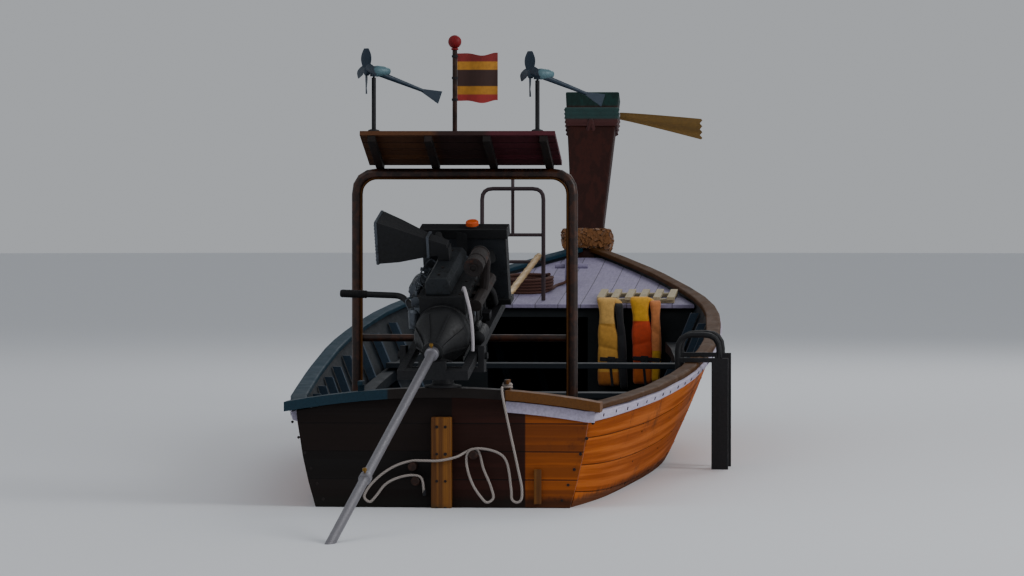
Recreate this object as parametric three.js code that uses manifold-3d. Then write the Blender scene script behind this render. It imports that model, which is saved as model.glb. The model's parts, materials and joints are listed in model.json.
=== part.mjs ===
// A wooden longtail boat, afloat: an open planked hull with a high prow, and an engine that swings on the
// transom with a long shaft behind it. Millimetres, +X towards the bow, +Y to port, +Z up.
// The origin is amidships on the centreline, at the waterline.

import * as THREE from 'three';
import { mergeVertices } from 'three/addons/utils/BufferGeometryUtils.js';
import Module from 'manifold-3d';

const wasm = await Module();
wasm.setup();

const { PI } = Math;
const GAP = 0.3; // between faces that touch
const DEGREE = PI / 180;
const BEND_STEPS = [0.25, 0.5, 0.75, 1]; // rings through a tube's round corner

// Hull lines

const PLANK = 28; // thickness of the hull planking
const SIDE_BULGE = 14; // outward curve of the side between sheer and turn
const RAIL_DEPTH = 62; // height of the rub rail, measured down the side
const SIDE_STEPS = [0.4, 0.72, 1]; // points down the side below the rub rail
const BILGE_STEPS = [0.3, 0.62, 1]; // points round the turn of the bilge

// Columns: x, half-beam at the sheer, sheer height, half-beam and height at the turn, keel height, keel half-width
const LINES = [
  [-4900, 760, 500, 660, 0, -110, 60],
  [-4400, 835, 505, 725, 0, -172, 60],
  [-3900, 900, 515, 770, 0, -222, 60],
  [-2900, 990, 528, 822, 0, -292, 60],
  [-1470, 1095, 580, 868, 0, -350, 60],
  [0, 1140, 680, 850, 0, -378, 60],
  [1470, 1075, 800, 715, 0, -372, 60],
  [2450, 935, 880, 560, 0, -345, 60],
  [3430, 670, 978, 320, 0, -300, 60],
  [3920, 500, 1034, 205, 0, -236, 58],
  [4300, 350, 1078, 140, 60, -100, 54],
  [4600, 220, 1115, 104, 300, 160, 50],
  [4800, 120, 1142, 74, 620, 480, 47],
  [4880, 78, 1152, 62, 800, 700, 46],
];
const SHELL_X = [
  -4900, -4450, -4000, -3500, -3000, -2500, -2000, -1470, -980, -490, 0, 490, 980, 1470, 1960, 2450,
  2940, 3330, 3640, 3920, 4130, 4300, 4460, 4600, 4710, 4800, 4880,
];
const STERN_END = -4900;

// Backbone

const KEEL_HALF = 45;
const KEEL_DEPTH = 85;
const KEEL_FROM = -4860;
const STEM_FROM = 4300;
const KEELSON_HALF = 40;
const KEELSON_THICK = 42;
const KEELSON_OVER = 60; // past the first rib
const KEELSON_TO = 4050;
const KEELSON_SCARF = 100; // x where its two lengths meet

// Prow: columns are x and z of the inner edge, half-width, depth fore and aft, rake of the section in degrees.
// Rings with no z lie on the keel line.
const PROW_LINES = [
  [4300, null, 46, 95, 52],
  [4460, null, 48, 100, 46],
  [4600, null, 52, 108, 42],
  [4710, null, 58, 116, 36],
  [4800, null, 64, 124, 28],
  [4880, null, 74, 132, 14],
  [4881, 1150, 98, 150, 8],
  [4990, 1420, 116, 168, 24],
  [5150, 1740, 142, 184, 27],
  [5320, 2060, 168, 196, 28],
  [5430, 2262, 188, 205, 28],
];

// Transom

const TRANSOM_BOARD = 40;
const CAP_HALF = 820;
const CAP_AFT = -4985;
const CAP_FORE = -4800;
const CAP_THICK = 50;
const CAP_CENTRE_Z = 570; // underside at the centreline
const CAP_CAMBER = 75;
const STERN_POST_HALF = 52;
const STERN_POST_DEPTH = 68;
const STERN_POST_BOTTOM = -60;
const PEG_RADIUS = 14;
const PEG_LENGTH = 92;
const PEGS = [[-165, 275], [150, 214], [135, 139]]; // y, z of the rope pegs on the transom
const CLEAT_Y = [-330, 430];

// Inside

const RIB_PITCH = 600;
const RIB_FIRST = -4400;
const RIB_COUNT = 15;
const RIB_HALF = 21;
const RIB_DEPTH = 45;
const RIB_CLEAR = 6; // between a rib's back and the planking, taken up by the bedding
const RIB_TOP = 50.3; // rib heads below the sheer, so that the deck lies on them
const RISER_Z = 270; // top of the seat risers aft
const RISER_DROP = 250; // and below the sheer further forward
const RISER_WIDTH = 80;
const RISER_HEIGHT = 62;
const RISER_SET = 17; // into the ribs
const RISER_FROM = -4800;
const RISER_TO = 2300;
const SOLE_TOP = -90;
const SOLE_THICK = 25;
const SOLE_FROM = -3170;
const SOLE_TO = 2050;
const SOLE_BOARD = 176;
const SOLE_PITCH = 184;
const SOLE_BOARDS = 5;
const SOLE_BATTENS = { x: [-2900, -1700, -500, 700, 1900], half: 430 };
const SEAT_THICK = 32;
const THWARTS = [[-3750, 260], [-2300, 230], [-700, 230], [800, 230]]; // x of the centre, width
const PLATFORM_FROM = -4785;
const PLATFORM_TO = -3920;
const PLATFORM_THICK = 26;
const PLATFORM_BOARD = 186;
const PLATFORM_PITCH = 200;
const PLATFORM_BOARDS = 7;
const PLATFORM_BATTENS = { x: [-4560, -4060], half: 590 };

// Foredeck

const DECK_FROM = 2440;
const DECK_TO = 4770;
const DECK_THICK = 25;
const DECK_DROP = 25; // deck surface below the sheer
const BULKHEAD_X = 2480;
const BULKHEAD_THICK = 25;
const HATCH = { y0: -190, y1: 460, z0: 270, z1: 770 };
const HOOP = { x: 2640, y: 310, half: 200, top: 1600, radius: 14, corner: 70, bars: [1125, 1300] };
const HOOP_CENTRE_TOP = 1695;
const GRATING = { x: 2690, y: -500, length: 430, width: 500, slats: 6, slat: 46, thick: 22 };

// Gunwales

const CAP_OUT = 22;
const CAP_IN = 66;
const GUNWALE_THICK = 28;
const GUNWALE_FROM = -4799;
const GUNWALE_TO = 4862;
const RAIL_OUT = 30;

// Arch, roof and what it carries

const ARCH = { x: -3750, half: 580, top: 1720, radius: 30, corner: 110, railZ: 838, railRadius: 20 };
const ROOF = { width: 1040, length: 500, thick: 24, tilt: 19, planks: 4, frame: 34, seat: 26, overhang: 38 };
const FLAG_STAFF = { y: 50, along: 100, top: 2428, radius: 13, ball: 36 };
const FLAG = { length: 225, bottom: 2102, top: 2366, thick: 7 };
const VANES = [['port', 449, 2266], ['starboard', -423, 2250]]; // name, y, height of the hub
const VANE = {
  pole: 12, pin: 6, hub: 20, hubDrop: 28, boom: 6, boomLength: 300, droop: 20, tailLength: 104, tailHeight: 70,
  rotor: 122, rotorAt: 40, shaft: 8, shaftTo: 50, turn: 28,
}; // droop and turn are in degrees: at rest each boom points a little forward
const ROOF_FOOT_RADIUS = 33;
const VANE_ALONG = 455; // up the roof from its fore edge to the middle of a vane's foot
const POLE = { from: [-3800, -92, 877.1], to: [2780, 152, 1163.6], radius: 22 };

// Ladder on the starboard side

const LADDER = {
  x: -1130, half: 165, y: -1240, bottom: -420, bend: 660, reach: 240, radius: 17, corner: 90, hook: 110, restHalf: 15,
  restTall: 26, plankHalf: 16, plankOut: 52, plankIn: 44,
};
const RUNGS = [-330, -80, 170, 420];

// Engine: sizes in its own tilted frame, whose origin is on the tilt axis with x forward along the shaft

const PIVOT_X = -4905;
const TILT_Z = 785;
const REST_SWING = -5.2; // degrees about +Z: the tail lies to port
const REST_SLOPE = 18; // degrees: the shaft runs down aft
const SHAFT_Z = 110; // shaft line above the tilt axis
const RAIL_Y = 165;
const RAIL = { from: -300, to: 820, wide: 40, tall: 50 };
const PIN_RADIUS = 18;
const PIN_PLAY = 0.8; // round the small pins that turn freely
const FORK = { inner: 190, thick: 32, half: 34, beamTop: 728, beamBottom: 701, top: 836 };
const SOCKET = { radius: 58, flange: 96, flangeThick: 12, top: 697, bore: 24 };
const BLOCK = { from: 62, to: 615, half: 122, top: 300, sump: -58, sumpHalf: 92, deck: 40 };
const TUBE_FROM = -262;
const TUBE_TO = -3980;
const TUBE_RADIUS = 24;
const COLLAR_RADIUS = 36; // of the tube's flange at the bell housing
const PROP = { from: -3986, to: -4106, hub: 31, radius: 140, shaft: 15, socket: 62, blades: 3 };
const TILLER_RADIUS = 17;

// Ropes, with the points of each centreline

const STERN_ROPE_RADIUS = 7;
const STERN_ROPE = [
  [-4868, -306.4, 618.6], [-4960, -310, 620.2], [-4993, -314, 615], [-5004, -318, 585], [-5006, -352, 418],
  [-5005, -396, 215], [-5001, -418, 96], [-4998, -412, 44], [-4997, -391, 32], [-4996, -367, 46],
  [-4996, -362, 100], [-4996, -330, 258], [-4996, -270, 297], [-4996, -165, 306], [-4997, -136, 280],
  [-4998, -132, 225], [-4998, -160, 130], [-4997, -203, 62], [-4995, -236, 31], [-4992, -268, 52],
  [-4988, -256, 112], [-4982, -217, 205], [-4976, -190, 292], [-4977, -165, 306], [-4986, -128, 291],
  [-5014, -80, 266], [-5024, 10, 247], [-5010, 92, 246], [-4992, 150, 244], [-4990, 235, 219],
  [-4990, 320, 165], [-4990, 384, 96], [-4990, 400, 54], [-4990, 372, 31], [-4990, 342, 58],
  [-4990, 290, 122], [-4990, 222, 157], [-4990, 150, 169.5], [-4990, 106, 157], [-4990, 88, 66],
];
const ANCHOR_ROPE_RADIUS = 10;
const ANCHOR_ROPE_LEAD = [
  [-0.9, 6, 62], [-16, 6, 63.5], [-34, 10, 52], [-50, 20, 30], [-70, 36, 16], [-110, 58, 12.5], [-170, 78, 12.5],
  [-240, 89, 12.5], [-308, 92, 12.5],
]; // x from the bitt's aft face, y, height above the deck
const BITT = { x: 3560, half: 40, tall: 160 };
const COIL = { x: 3130, y: 262, mean: 160, columns: 2, layers: 5 };

// Soft pieces

const VESTS = [['1', -356, 600], ['2', -570, 606]]; // name, y and z of the middle
const VEST = { width: 206, height: 600, thick: 74 };
const GARLAND = { from: 1176, to: 1300, grow: 44 };
const SASH = { from: 2020, to: 2150, grow: 14 };
const SASH_BULGE = 4;
const STREAMER = { z: 2090, length: 580, root: 52, tip: 150, drop: 92, thick: 8 };

// Finishes: colour, roughness, metalness

const FINISH = {
  varnish: [0x8a4a1c, 0.45, 0],
  darkWood: [0x3b1f14, 0.55, 0],
  prowWood: [0x4a1b12, 0.5, 0],
  amberWood: [0x8f5e26, 0.6, 0],
  teal: [0x1e3a48, 0.5, 0],
  gold: [0x8a5a20, 0.5, 0],
  pale: [0xb9b2c4, 0.6, 0],
  interior: [0x2f3848, 0.7, 0],
  deck: [0x9a93ab, 0.7, 0],
  iron: [0x1b1c20, 0.5, 0.6],
  engine: [0x15161a, 0.5, 0.4],
  greyMetal: [0x8a8f96, 0.4, 0.8],
  tube: [0xb4b4b8, 0.35, 0.8],
  bronze: [0x8c6a32, 0.4, 0.9],
  rope: [0xb8b4ac, 0.9, 0],
  bamboo: [0xc2a878, 0.6, 0],
  orange: [0xd97a1c, 0.8, 0],
  flag: [0x9c6a18, 0.85, 0],
  navy: [0x16324a, 0.6, 0],
  goldCloth: [0x9a7a26, 0.85, 0],
  greenCloth: [0x1f5a58, 0.85, 0],
  red: [0x8e1f22, 0.4, 0],
};

const boat = new THREE.Group();
const swing = new THREE.Group();
const engine = new THREE.Group();
boat.add(swing);
swing.add(engine);
swing.position.set(PIVOT_X, 0, 0);
swing.rotation.z = REST_SWING * DEGREE;
engine.position.set(0, 0, TILT_Z);
engine.rotation.y = -REST_SLOPE * DEGREE;

// Geometry helpers

function merged(geometry) {
  const bare = geometry.index ? geometry.toNonIndexed() : geometry.clone();
  bare.deleteAttribute('normal');
  bare.deleteAttribute('uv');
  return mergeVertices(bare, 1e-3);
}

function solid(geometry) {
  const bare = merged(geometry);
  return new wasm.Manifold(new wasm.Mesh({
    numProp: 3,
    vertProperties: Float32Array.from(bare.attributes.position.array),
    triVerts: Uint32Array.from(bare.index.array),
  }));
}

function geometryOf(manifold) {
  const mesh = manifold.getMesh();
  const geometry = new THREE.BufferGeometry();
  geometry.setAttribute('position', new THREE.BufferAttribute(Float32Array.from(mesh.vertProperties), 3));
  geometry.setIndex(new THREE.BufferAttribute(Uint32Array.from(mesh.triVerts), 1));
  return geometry;
}

function join(...geometries) {
  return geometryOf(geometries.map(solid).reduce((whole, piece) => whole.add(piece)));
}

function cut(geometry, ...tools) {
  return geometryOf(tools.map(solid).reduce((whole, tool) => whole.subtract(tool), solid(geometry)));
}

function piece(name, geometry, finish, parent = boat) {
  const [color, roughness, metalness] = FINISH[finish];
  const mesh = new THREE.Mesh(geometry, new THREE.MeshStandardMaterial({ color, roughness, metalness }));
  mesh.name = name;
  parent.add(mesh);
  return mesh;
}

// Turns a closed geometry's faces round if they point inwards
function facingOut(geometry) {
  const index = Array.from(geometry.index.array);
  const corners = [new THREE.Vector3(), new THREE.Vector3(), new THREE.Vector3()];
  let volume = 0;
  for (let i = 0; i < index.length; i += 3) {
    corners.forEach((corner, k) => corner.fromBufferAttribute(geometry.attributes.position, index[i + k]));
    volume += corners[0].dot(corners[1].clone().cross(corners[2])) / 6;
  }
  if (volume < 0) {
    for (let i = 0; i < index.length; i += 3) [index[i], index[i + 1]] = [index[i + 1], index[i]];
    geometry.setIndex(index);
  }
  return geometry;
}

// A flat ring's outline in two dimensions, without the axis that it faces most
function flattened(ring) {
  const faced = [0, 1, 2].map((axis) => Math.abs(ring.reduce((sum, a, i) => {
    const b = ring[(i + 1) % ring.length];
    const [j, k] = [(axis + 1) % 3, (axis + 2) % 3];
    return sum + a[j] * b[k] - a[k] * b[j];
  }, 0)));
  const drop = faced.indexOf(Math.max(...faced));
  return ring.map((point) => new THREE.Vector2(point[(drop + 1) % 3], point[(drop + 2) % 3]));
}

// A closed body through rings of equally many [x, y, z] points
function loft(rings) {
  const count = rings[0].length;
  const index = [];
  for (let i = 0; i < rings.length - 1; i += 1) {
    for (let j = 0; j < count; j += 1) {
      const next = (j + 1) % count;
      const [a, b] = [i * count + j, i * count + next];
      const [c, d] = [b + count, a + count];
      index.push(a, b, c, a, c, d);
    }
  }
  const cap = (ring, offset, last) => {
    const contour = flattened(ring);
    const turned = THREE.ShapeUtils.isClockWise(contour);
    if (turned) contour.reverse();
    const at = (k) => offset + (turned ? count - 1 - k : k);
    for (const [a, b, c] of THREE.ShapeUtils.triangulateShape(contour, [])) {
      if (last !== turned) index.push(at(a), at(b), at(c));
      else index.push(at(a), at(c), at(b));
    }
  };
  cap(rings[0], 0, false);
  cap(rings[rings.length - 1], (rings.length - 1) * count, true);
  const geometry = new THREE.BufferGeometry();
  geometry.setAttribute('position', new THREE.BufferAttribute(Float32Array.from(rings.flat(2)), 3));
  geometry.setIndex(index);
  return facingOut(geometry);
}

function box(x0, x1, y0, y1, z0, z1) {
  return new THREE.BoxGeometry(x1 - x0, y1 - y0, z1 - z0).translate((x0 + x1) / 2, (y0 + y1) / 2, (z0 + z1) / 2);
}

// Cylinders along each axis, from one end to the other
function rodX(x0, x1, y, z, radius, sides = 14) {
  return new THREE.CylinderGeometry(radius, radius, x1 - x0, sides).rotateZ(-PI / 2).translate((x0 + x1) / 2, y, z);
}

function rodY(y0, y1, x, z, radius, sides = 14) {
  return new THREE.CylinderGeometry(radius, radius, y1 - y0, sides).translate(x, (y0 + y1) / 2, z);
}

function rodZ(z0, z1, x, y, radius, sides = 14) {
  return new THREE.CylinderGeometry(radius, radius, z1 - z0, sides).rotateX(PI / 2).translate(x, y, (z0 + z1) / 2);
}

// A turned body: the profile is [radius, height], and it closes on itself or on the axis
function lathe(profile, sides) {
  const points = profile.map(([radius, height]) => new THREE.Vector2(radius, height));
  return facingOut(merged(new THREE.LatheGeometry(points, sides)));
}

function roundSection(radius, sides) {
  const shape = new THREE.Shape();
  for (let i = 0; i < sides; i += 1) {
    const angle = (2 * PI * i) / sides;
    const point = [radius * Math.cos(angle), radius * Math.sin(angle)];
    if (i === 0) shape.moveTo(...point);
    else shape.lineTo(...point);
  }
  shape.closePath();
  return shape;
}

function tube(curve, radius, sides, steps) {
  return new THREE.ExtrudeGeometry(roundSection(radius, sides), { extrudePath: curve, steps });
}

// A path of straight runs with round corners: points are [x, y, z]
function bentPath(points, corner) {
  const vectors = points.map((point) => new THREE.Vector3(...point));
  const path = new THREE.CurvePath();
  let start = vectors[0];
  for (let i = 1; i < vectors.length - 1; i += 1) {
    const into = vectors[i].clone().sub(vectors[i - 1]).normalize();
    const out = vectors[i + 1].clone().sub(vectors[i]).normalize();
    const before = vectors[i].clone().addScaledVector(into, -corner);
    const after = vectors[i].clone().addScaledVector(out, corner);
    path.add(new THREE.LineCurve3(start, before));
    path.add(new THREE.QuadraticBezierCurve3(before, vectors[i], after));
    start = after;
  }
  path.add(new THREE.LineCurve3(start, vectors[vectors.length - 1]));
  return path;
}

// A tube along straight runs with round corners, with a ring of points wherever the path turns
function pipe(points, corner, radius, sides) {
  const stops = bentPath(points, corner).curves.flatMap((curve, i) => {
    const steps = curve.isLineCurve3 ? [1] : BEND_STEPS;
    return (i === 0 ? [0, ...steps] : steps).map((t) => [curve.getPoint(t), curve.getTangent(t)]);
  });
  const up = new THREE.Vector3(1, 0, 0);
  return loft(stops.map(([middle, along]) => {
    up.addScaledVector(along, -up.dot(along)).normalize();
    const side = along.clone().cross(up);
    return Array.from({ length: sides }, (_, i) => {
      const angle = (2 * PI * (i + 0.5)) / sides;
      return middle.clone().addScaledVector(up, radius * Math.cos(angle)).addScaledVector(side, radius * Math.sin(angle))
        .toArray();
    });
  }));
}

function smoothCurve(points) {
  return new THREE.CatmullRomCurve3(points.map((point) => new THREE.Vector3(...point)));
}

// Hull shape

function lineValue(column, x) {
  const last = LINES.length - 1;
  const i = Math.min(last - 1, Math.max(0, LINES.findLastIndex((row) => row[0] <= x)));
  const slope = (k) => {
    const [low, high] = [Math.max(0, k - 1), Math.min(last, k + 1)];
    return (LINES[high][column] - LINES[low][column]) / (LINES[high][0] - LINES[low][0]);
  };
  const span = LINES[i + 1][0] - LINES[i][0];
  const t = Math.min(1, Math.max(0, (x - LINES[i][0]) / span));
  const [t2, t3] = [t * t, t * t * t];
  return (2 * t3 - 3 * t2 + 1) * LINES[i][column] + (t3 - 2 * t2 + t) * span * slope(i)
    + (3 * t2 - 2 * t3) * LINES[i + 1][column] + (t3 - t2) * span * slope(i + 1);
}

// Half of the outside section at x, from the sheer down to the keel's edge, as [y, z]
function outerHalf(x) {
  const [sheerY, sheerZ, turnY, turnZ, keelZ, keelHalf] = [1, 2, 3, 4, 5, 6].map((column) => lineValue(column, x));
  const side = Math.hypot(sheerY - turnY, sheerZ - turnZ);
  const onSide = (f) => [
    sheerY + (turnY - sheerY) * f + SIDE_BULGE * 4 * f * (1 - f),
    sheerZ + (turnZ - sheerZ) * f,
  ];
  const railFraction = RAIL_DEPTH / side;
  const flare = (sheerY - turnY) / (sheerZ - turnZ);
  const drop = 0.66 * (turnZ - keelZ);
  const corner = [turnY - flare * drop, turnZ - drop];
  const onBilge = (t) => [0, 1].map((k) => (1 - t) ** 2 * [turnY, turnZ][k] + 2 * t * (1 - t) * corner[k]
    + t * t * [keelHalf, keelZ][k]);
  const below = SIDE_STEPS.map((f) => railFraction + (1 - railFraction) * f);
  return [[sheerY, sheerZ], onSide(railFraction), ...below.map(onSide), ...BILGE_STEPS.map(onBilge)];
}

// A half section moved inwards by a distance: its top stays level with the sheer
function inset(half, distance) {
  const normals = half.slice(1).map(([y, z], i) => {
    const [dy, dz] = [y - half[i][0], z - half[i][1]];
    const length = Math.hypot(dy, dz);
    return [dz / length, -dy / length];
  });
  return half.map(([y, z], i) => {
    if (i === 0) return [y + distance / normals[0][0], z];
    if (i === half.length - 1) {
      const [ny, nz] = normals[i - 1];
      return [y + (distance * (1 - nz)) / ny, z + distance];
    }
    const [before, after] = [normals[i - 1], normals[i]];
    const sum = [before[0] + after[0], before[1] + after[1]];
    const scale = distance / (1 + before[0] * after[0] + before[1] * after[1]);
    return [y + sum[0] * scale, z + sum[1] * scale];
  });
}

const SHELL = SHELL_X.map((x) => {
  const outer = outerHalf(x);
  return { x, outer, inner: inset(outer, PLANK) };
});

// The faceted shell's section at x
function shellAt(x) {
  const i = Math.min(SHELL.length - 2, Math.max(0, SHELL_X.findLastIndex((start) => start <= x)));
  const t = (x - SHELL_X[i]) / (SHELL_X[i + 1] - SHELL_X[i]);
  const between = (key) => SHELL[i][key].map(([y, z], k) => {
    const [y1, z1] = SHELL[i + 1][key][k];
    return [y + (y1 - y) * t, z + (z1 - z) * t];
  });
  return { outer: between('outer'), inner: between('inner') };
}

function mirrored(half) {
  return half.map(([y, z]) => [-y, z]).reverse();
}

function widthAt(half, z) {
  const i = Math.max(0, half.findIndex(([, height]) => height < z) - 1);
  const [[y0, z0], [y1, z1]] = [half[i], half[i + 1]];
  return y0 + ((y1 - y0) * (z - z0)) / (z1 - z0);
}

const sheerAt = (x) => shellAt(x).outer[0][1];
const keelAt = (x) => shellAt(x).outer.at(-1)[1];
const innerWidth = (x, z) => widthAt(shellAt(x).inner, z);

// Where a lengthwise piece needs a ring: its own ends and every station of the shell between them
function stationsBetween(from, to) {
  return [from, ...SHELL_X.filter((x) => x > from && x < to), to];
}

// The outline of a U between an outer and an inner half section, as [x, y, z] points
function trough(x, outer, inner) {
  return [...outer, ...mirrored(outer), ...mirrored(inner).reverse(), ...inner.slice().reverse()]
    .map(([y, z]) => [x, y, z]);
}

function hullShell() {
  return loft(SHELL.map(({ x, outer, inner }) => trough(x, outer, inner)));
}

function keel() {
  const rings = stationsBetween(KEEL_FROM, STEM_FROM - GAP).map((x) => {
    const top = keelAt(x) - GAP;
    return [[x, KEEL_HALF, top], [x, -KEEL_HALF, top], [x, -KEEL_HALF + 8, top - KEEL_DEPTH],
      [x, KEEL_HALF - 8, top - KEEL_DEPTH]];
  });
  return loft(rings);
}

const PROW_RINGS = PROW_LINES.map(([x, z, ...rest]) => [x, z ?? keelAt(x), ...rest]);

// Prow sections, grown outwards all round by a distance
function prowRing([x, z, half, depth, rake], grow = 0) {
  const [forward, down] = [Math.cos(rake * DEGREE), -Math.sin(rake * DEGREE)];
  const at = (distance, y) => [x + 2 * GAP + distance * forward, y, z - 2 * GAP + distance * down];
  const chamfer = 0.32 * half;
  return [at(-grow, half + grow), at(depth - chamfer + grow / 2, half + grow), at(depth + grow, half - chamfer + grow / 2),
    at(depth + grow, -half + chamfer - grow / 2), at(depth - chamfer + grow / 2, -half - grow), at(-grow, -half - grow)];
}

function prowRingAt(z) {
  const i = PROW_RINGS.findLastIndex((ring) => ring[1] <= z);
  const t = (z - PROW_RINGS[i][1]) / (PROW_RINGS[i + 1][1] - PROW_RINGS[i][1]);
  return PROW_RINGS[i].map((value, k) => value + (PROW_RINGS[i + 1][k] - value) * t);
}

function prow(grow = 0) {
  return loft(PROW_RINGS.map((ring) => prowRing(ring, grow)));
}

// A band round the prow between two heights
function prowBand({ from, to, grow }, bulge) {
  const heights = [0, 0.25, 0.5, 0.75, 1];
  const rings = heights.map((t) => prowRing(prowRingAt(from + (to - from) * t), grow + bulge * Math.sin(PI * t)));
  return cut(loft(rings), prow(GAP));
}

// Transom pieces

const capUnderside = (y) => CAP_CENTRE_Z - CAP_CAMBER * (y / CAP_HALF) ** 2;

function transomBoard() {
  const half = SHELL[0].outer;
  const steps = [-0.75, -0.5, -0.25, 0, 0.25, 0.5, 0.75];
  const top = steps.map((f) => [half[0][0] * f, capUnderside(half[0][0] * f) - GAP]);
  const outline = [...half, ...mirrored(half), ...top];
  const aft = STERN_END - GAP;
  const board = loft([aft - TRANSOM_BOARD, aft].map((x) => outline.map(([y, z]) => [x, y, z])));
  const pegs = PEGS.map(([y, z]) => rodX(aft - PEG_LENGTH, aft - 5, y, z, PEG_RADIUS, 12));
  return join(board, ...pegs);
}

function transomCap() {
  const steps = 16;
  const across = Array.from({ length: steps + 1 }, (_, i) => CAP_HALF * (1 - (2 * i) / steps));
  const outline = [...across.map((y) => [y, capUnderside(y)]),
    ...across.slice().reverse().map((y) => [y, capUnderside(y) + CAP_THICK])];
  const plank = loft([CAP_AFT, CAP_FORE - GAP].map((x) => outline.map(([y, z]) => [x, y, z])));
  const cleats = CLEAT_Y.flatMap((y) => {
    const z = capUnderside(y) + CAP_THICK;
    return [box(-4880, -4850, y - 16, y + 16, z - 8, z + 34), box(-4925, -4812, y - 13, y + 13, z + 30, z + 52)];
  });
  return join(plank, ...cleats);
}

function sternPost() {
  const aft = STERN_END - GAP - TRANSOM_BOARD - GAP;
  return box(aft - STERN_POST_DEPTH, aft, -STERN_POST_HALF, STERN_POST_HALF, STERN_POST_BOTTOM, 470);
}

// Gunwales and rub rails follow the shell's own stations

function gunwale(side) {
  return loft(stationsBetween(GUNWALE_FROM, GUNWALE_TO).map((x) => {
    const [y, z] = shellAt(x).outer[0];
    const [outside, inside] = [side * (y + CAP_OUT), side * Math.max(y - CAP_IN, 9)];
    const [low, high] = [z + GAP, z + GAP + GUNWALE_THICK];
    return [[x, outside, low], [x, outside, high - 7], [x, outside - side * 8, high], [x, inside + side * 6, high],
      [x, inside, high - 6], [x, inside, low]];
  }));
}

function rubRail(side) {
  const rings = SHELL_X.filter((x) => x <= 4800).map((x) => {
    const [[y0, z0], [y1, z1]] = shellAt(x).outer;
    const shift = side * GAP * 2;
    const top = [x, side * y0 + shift, z0];
    const bottom = [x, side * y1 + shift, z1];
    const outTop = [x, side * (y0 + RAIL_OUT) + shift, z0 - 9];
    const outBottom = [x, side * (y1 + RAIL_OUT) + shift, z1 + 9];
    return side > 0 ? [top, bottom, outBottom, outTop] : [bottom, top, outTop, outBottom];
  });
  return loft(rings);
}

// Frames: ribs and floor timbers on the two lengths of the keelson, with the seat risers let into the ribs

function clipped(half, top) {
  const below = half.findIndex(([, z]) => z < top);
  const [[y0, z0], [y1, z1]] = [half[below - 1], half[below]];
  return [[y0 + ((y1 - y0) * (top - z0)) / (z1 - z0), top], ...half.slice(below)];
}

function resampled(points, count) {
  const lengths = [0];
  for (let i = 1; i < points.length; i += 1) {
    lengths.push(lengths[i - 1] + Math.hypot(points[i][0] - points[i - 1][0], points[i][1] - points[i - 1][1]));
  }
  return Array.from({ length: count }, (_, k) => {
    const at = (lengths.at(-1) * k) / (count - 1);
    const i = Math.min(points.length - 2, Math.max(0, lengths.findLastIndex((length) => length <= at)));
    const t = (at - lengths[i]) / (lengths[i + 1] - lengths[i]);
    return [0, 1].map((axis) => points[i][axis] + (points[i + 1][axis] - points[i][axis]) * t);
  });
}

// A rib, grown along the hull and inwards by a distance
function rib(x, grow = 0) {
  const top = sheerAt(x - RIB_HALF) - RIB_TOP;
  return loft([x - RIB_HALF - grow, x + RIB_HALF + grow].map((at) => {
    const { inner } = shellAt(at);
    const back = resampled(clipped(inset(inner, RIB_CLEAR), top), 7);
    const face = resampled(clipped(inset(inner, RIB_CLEAR + RIB_DEPTH + grow), top), 7);
    return trough(at, back, face);
  }));
}

function floorTimber(x) {
  const low = SOLE_TOP - SOLE_THICK - 45;
  const half = innerWidth(x + RIB_HALF, low) - 24;
  return box(x - RIB_HALF, x + RIB_HALF, -half, half, low, SOLE_TOP - SOLE_THICK - GAP);
}

const RIBS = Array.from({ length: RIB_COUNT }, (_, i) => RIB_FIRST + RIB_PITCH * i);
const riserTop = (x) => Math.max(RISER_Z, sheerAt(x) - RISER_DROP);

function riser(side) {
  const rail = loft(stationsBetween(RISER_FROM, RISER_TO).map((x) => {
    const [high, low] = [riserTop(x), riserTop(x) - RISER_HEIGHT];
    const outside = side * (innerWidth(x, low) - RIB_CLEAR - RISER_SET);
    return [[x, outside, low], [x, outside, high], [x, outside - side * RISER_WIDTH, high],
      [x, outside - side * RISER_WIDTH, low]];
  }));
  return cut(rail, ...RIBS.filter((x) => x < RISER_TO).map((x) => rib(x, GAP)));
}

function keelson(from, to) {
  return loft(stationsBetween(from, to).map((x) => {
    const [edge, bottom] = shellAt(x).inner.at(-1);
    const [half, low] = [Math.min(KEELSON_HALF, edge - 1), bottom + GAP];
    return [[x, half, low], [x, -half, low], [x, -half, low + KEELSON_THICK], [x, half, low + KEELSON_THICK]];
  }));
}

function frames(from, to) {
  const places = RIBS.filter((x) => x > from && x < to);
  const floors = places.filter((x) => x > SOLE_FROM && x < SOLE_TO);
  return join(keelson(from, to), ...places.map((x) => rib(x)), ...floors.map(floorTimber));
}

// Boards laid side by side on battens
function boards({ from, to, count, pitch, board, top, thick, battens }) {
  const first = -(count - 1) / 2;
  const planks = Array.from({ length: count }, (_, i) => {
    const y = (first + i) * pitch;
    return box(from, to, y - board / 2, y + board / 2, top - thick, top);
  });
  const under = battens.x.map((x) => box(x - 20, x + 20, -battens.half, battens.half,
    top - thick - 22, top - thick + 6));
  return join(...planks, ...under);
}

function thwart([x, width]) {
  const low = Math.max(riserTop(x - width / 2), riserTop(x + width / 2)) + GAP;
  const half = Math.min(innerWidth(x - width / 2, low), innerWidth(x + width / 2, low)) - RIB_DEPTH - RIB_CLEAR - 8;
  return box(x - width / 2, x + width / 2, -half, half, low, low + SEAT_THICK);
}

// Foredeck, its bulkhead and what stands on it

const deckTop = (x) => sheerAt(x) - DECK_DROP;

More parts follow.
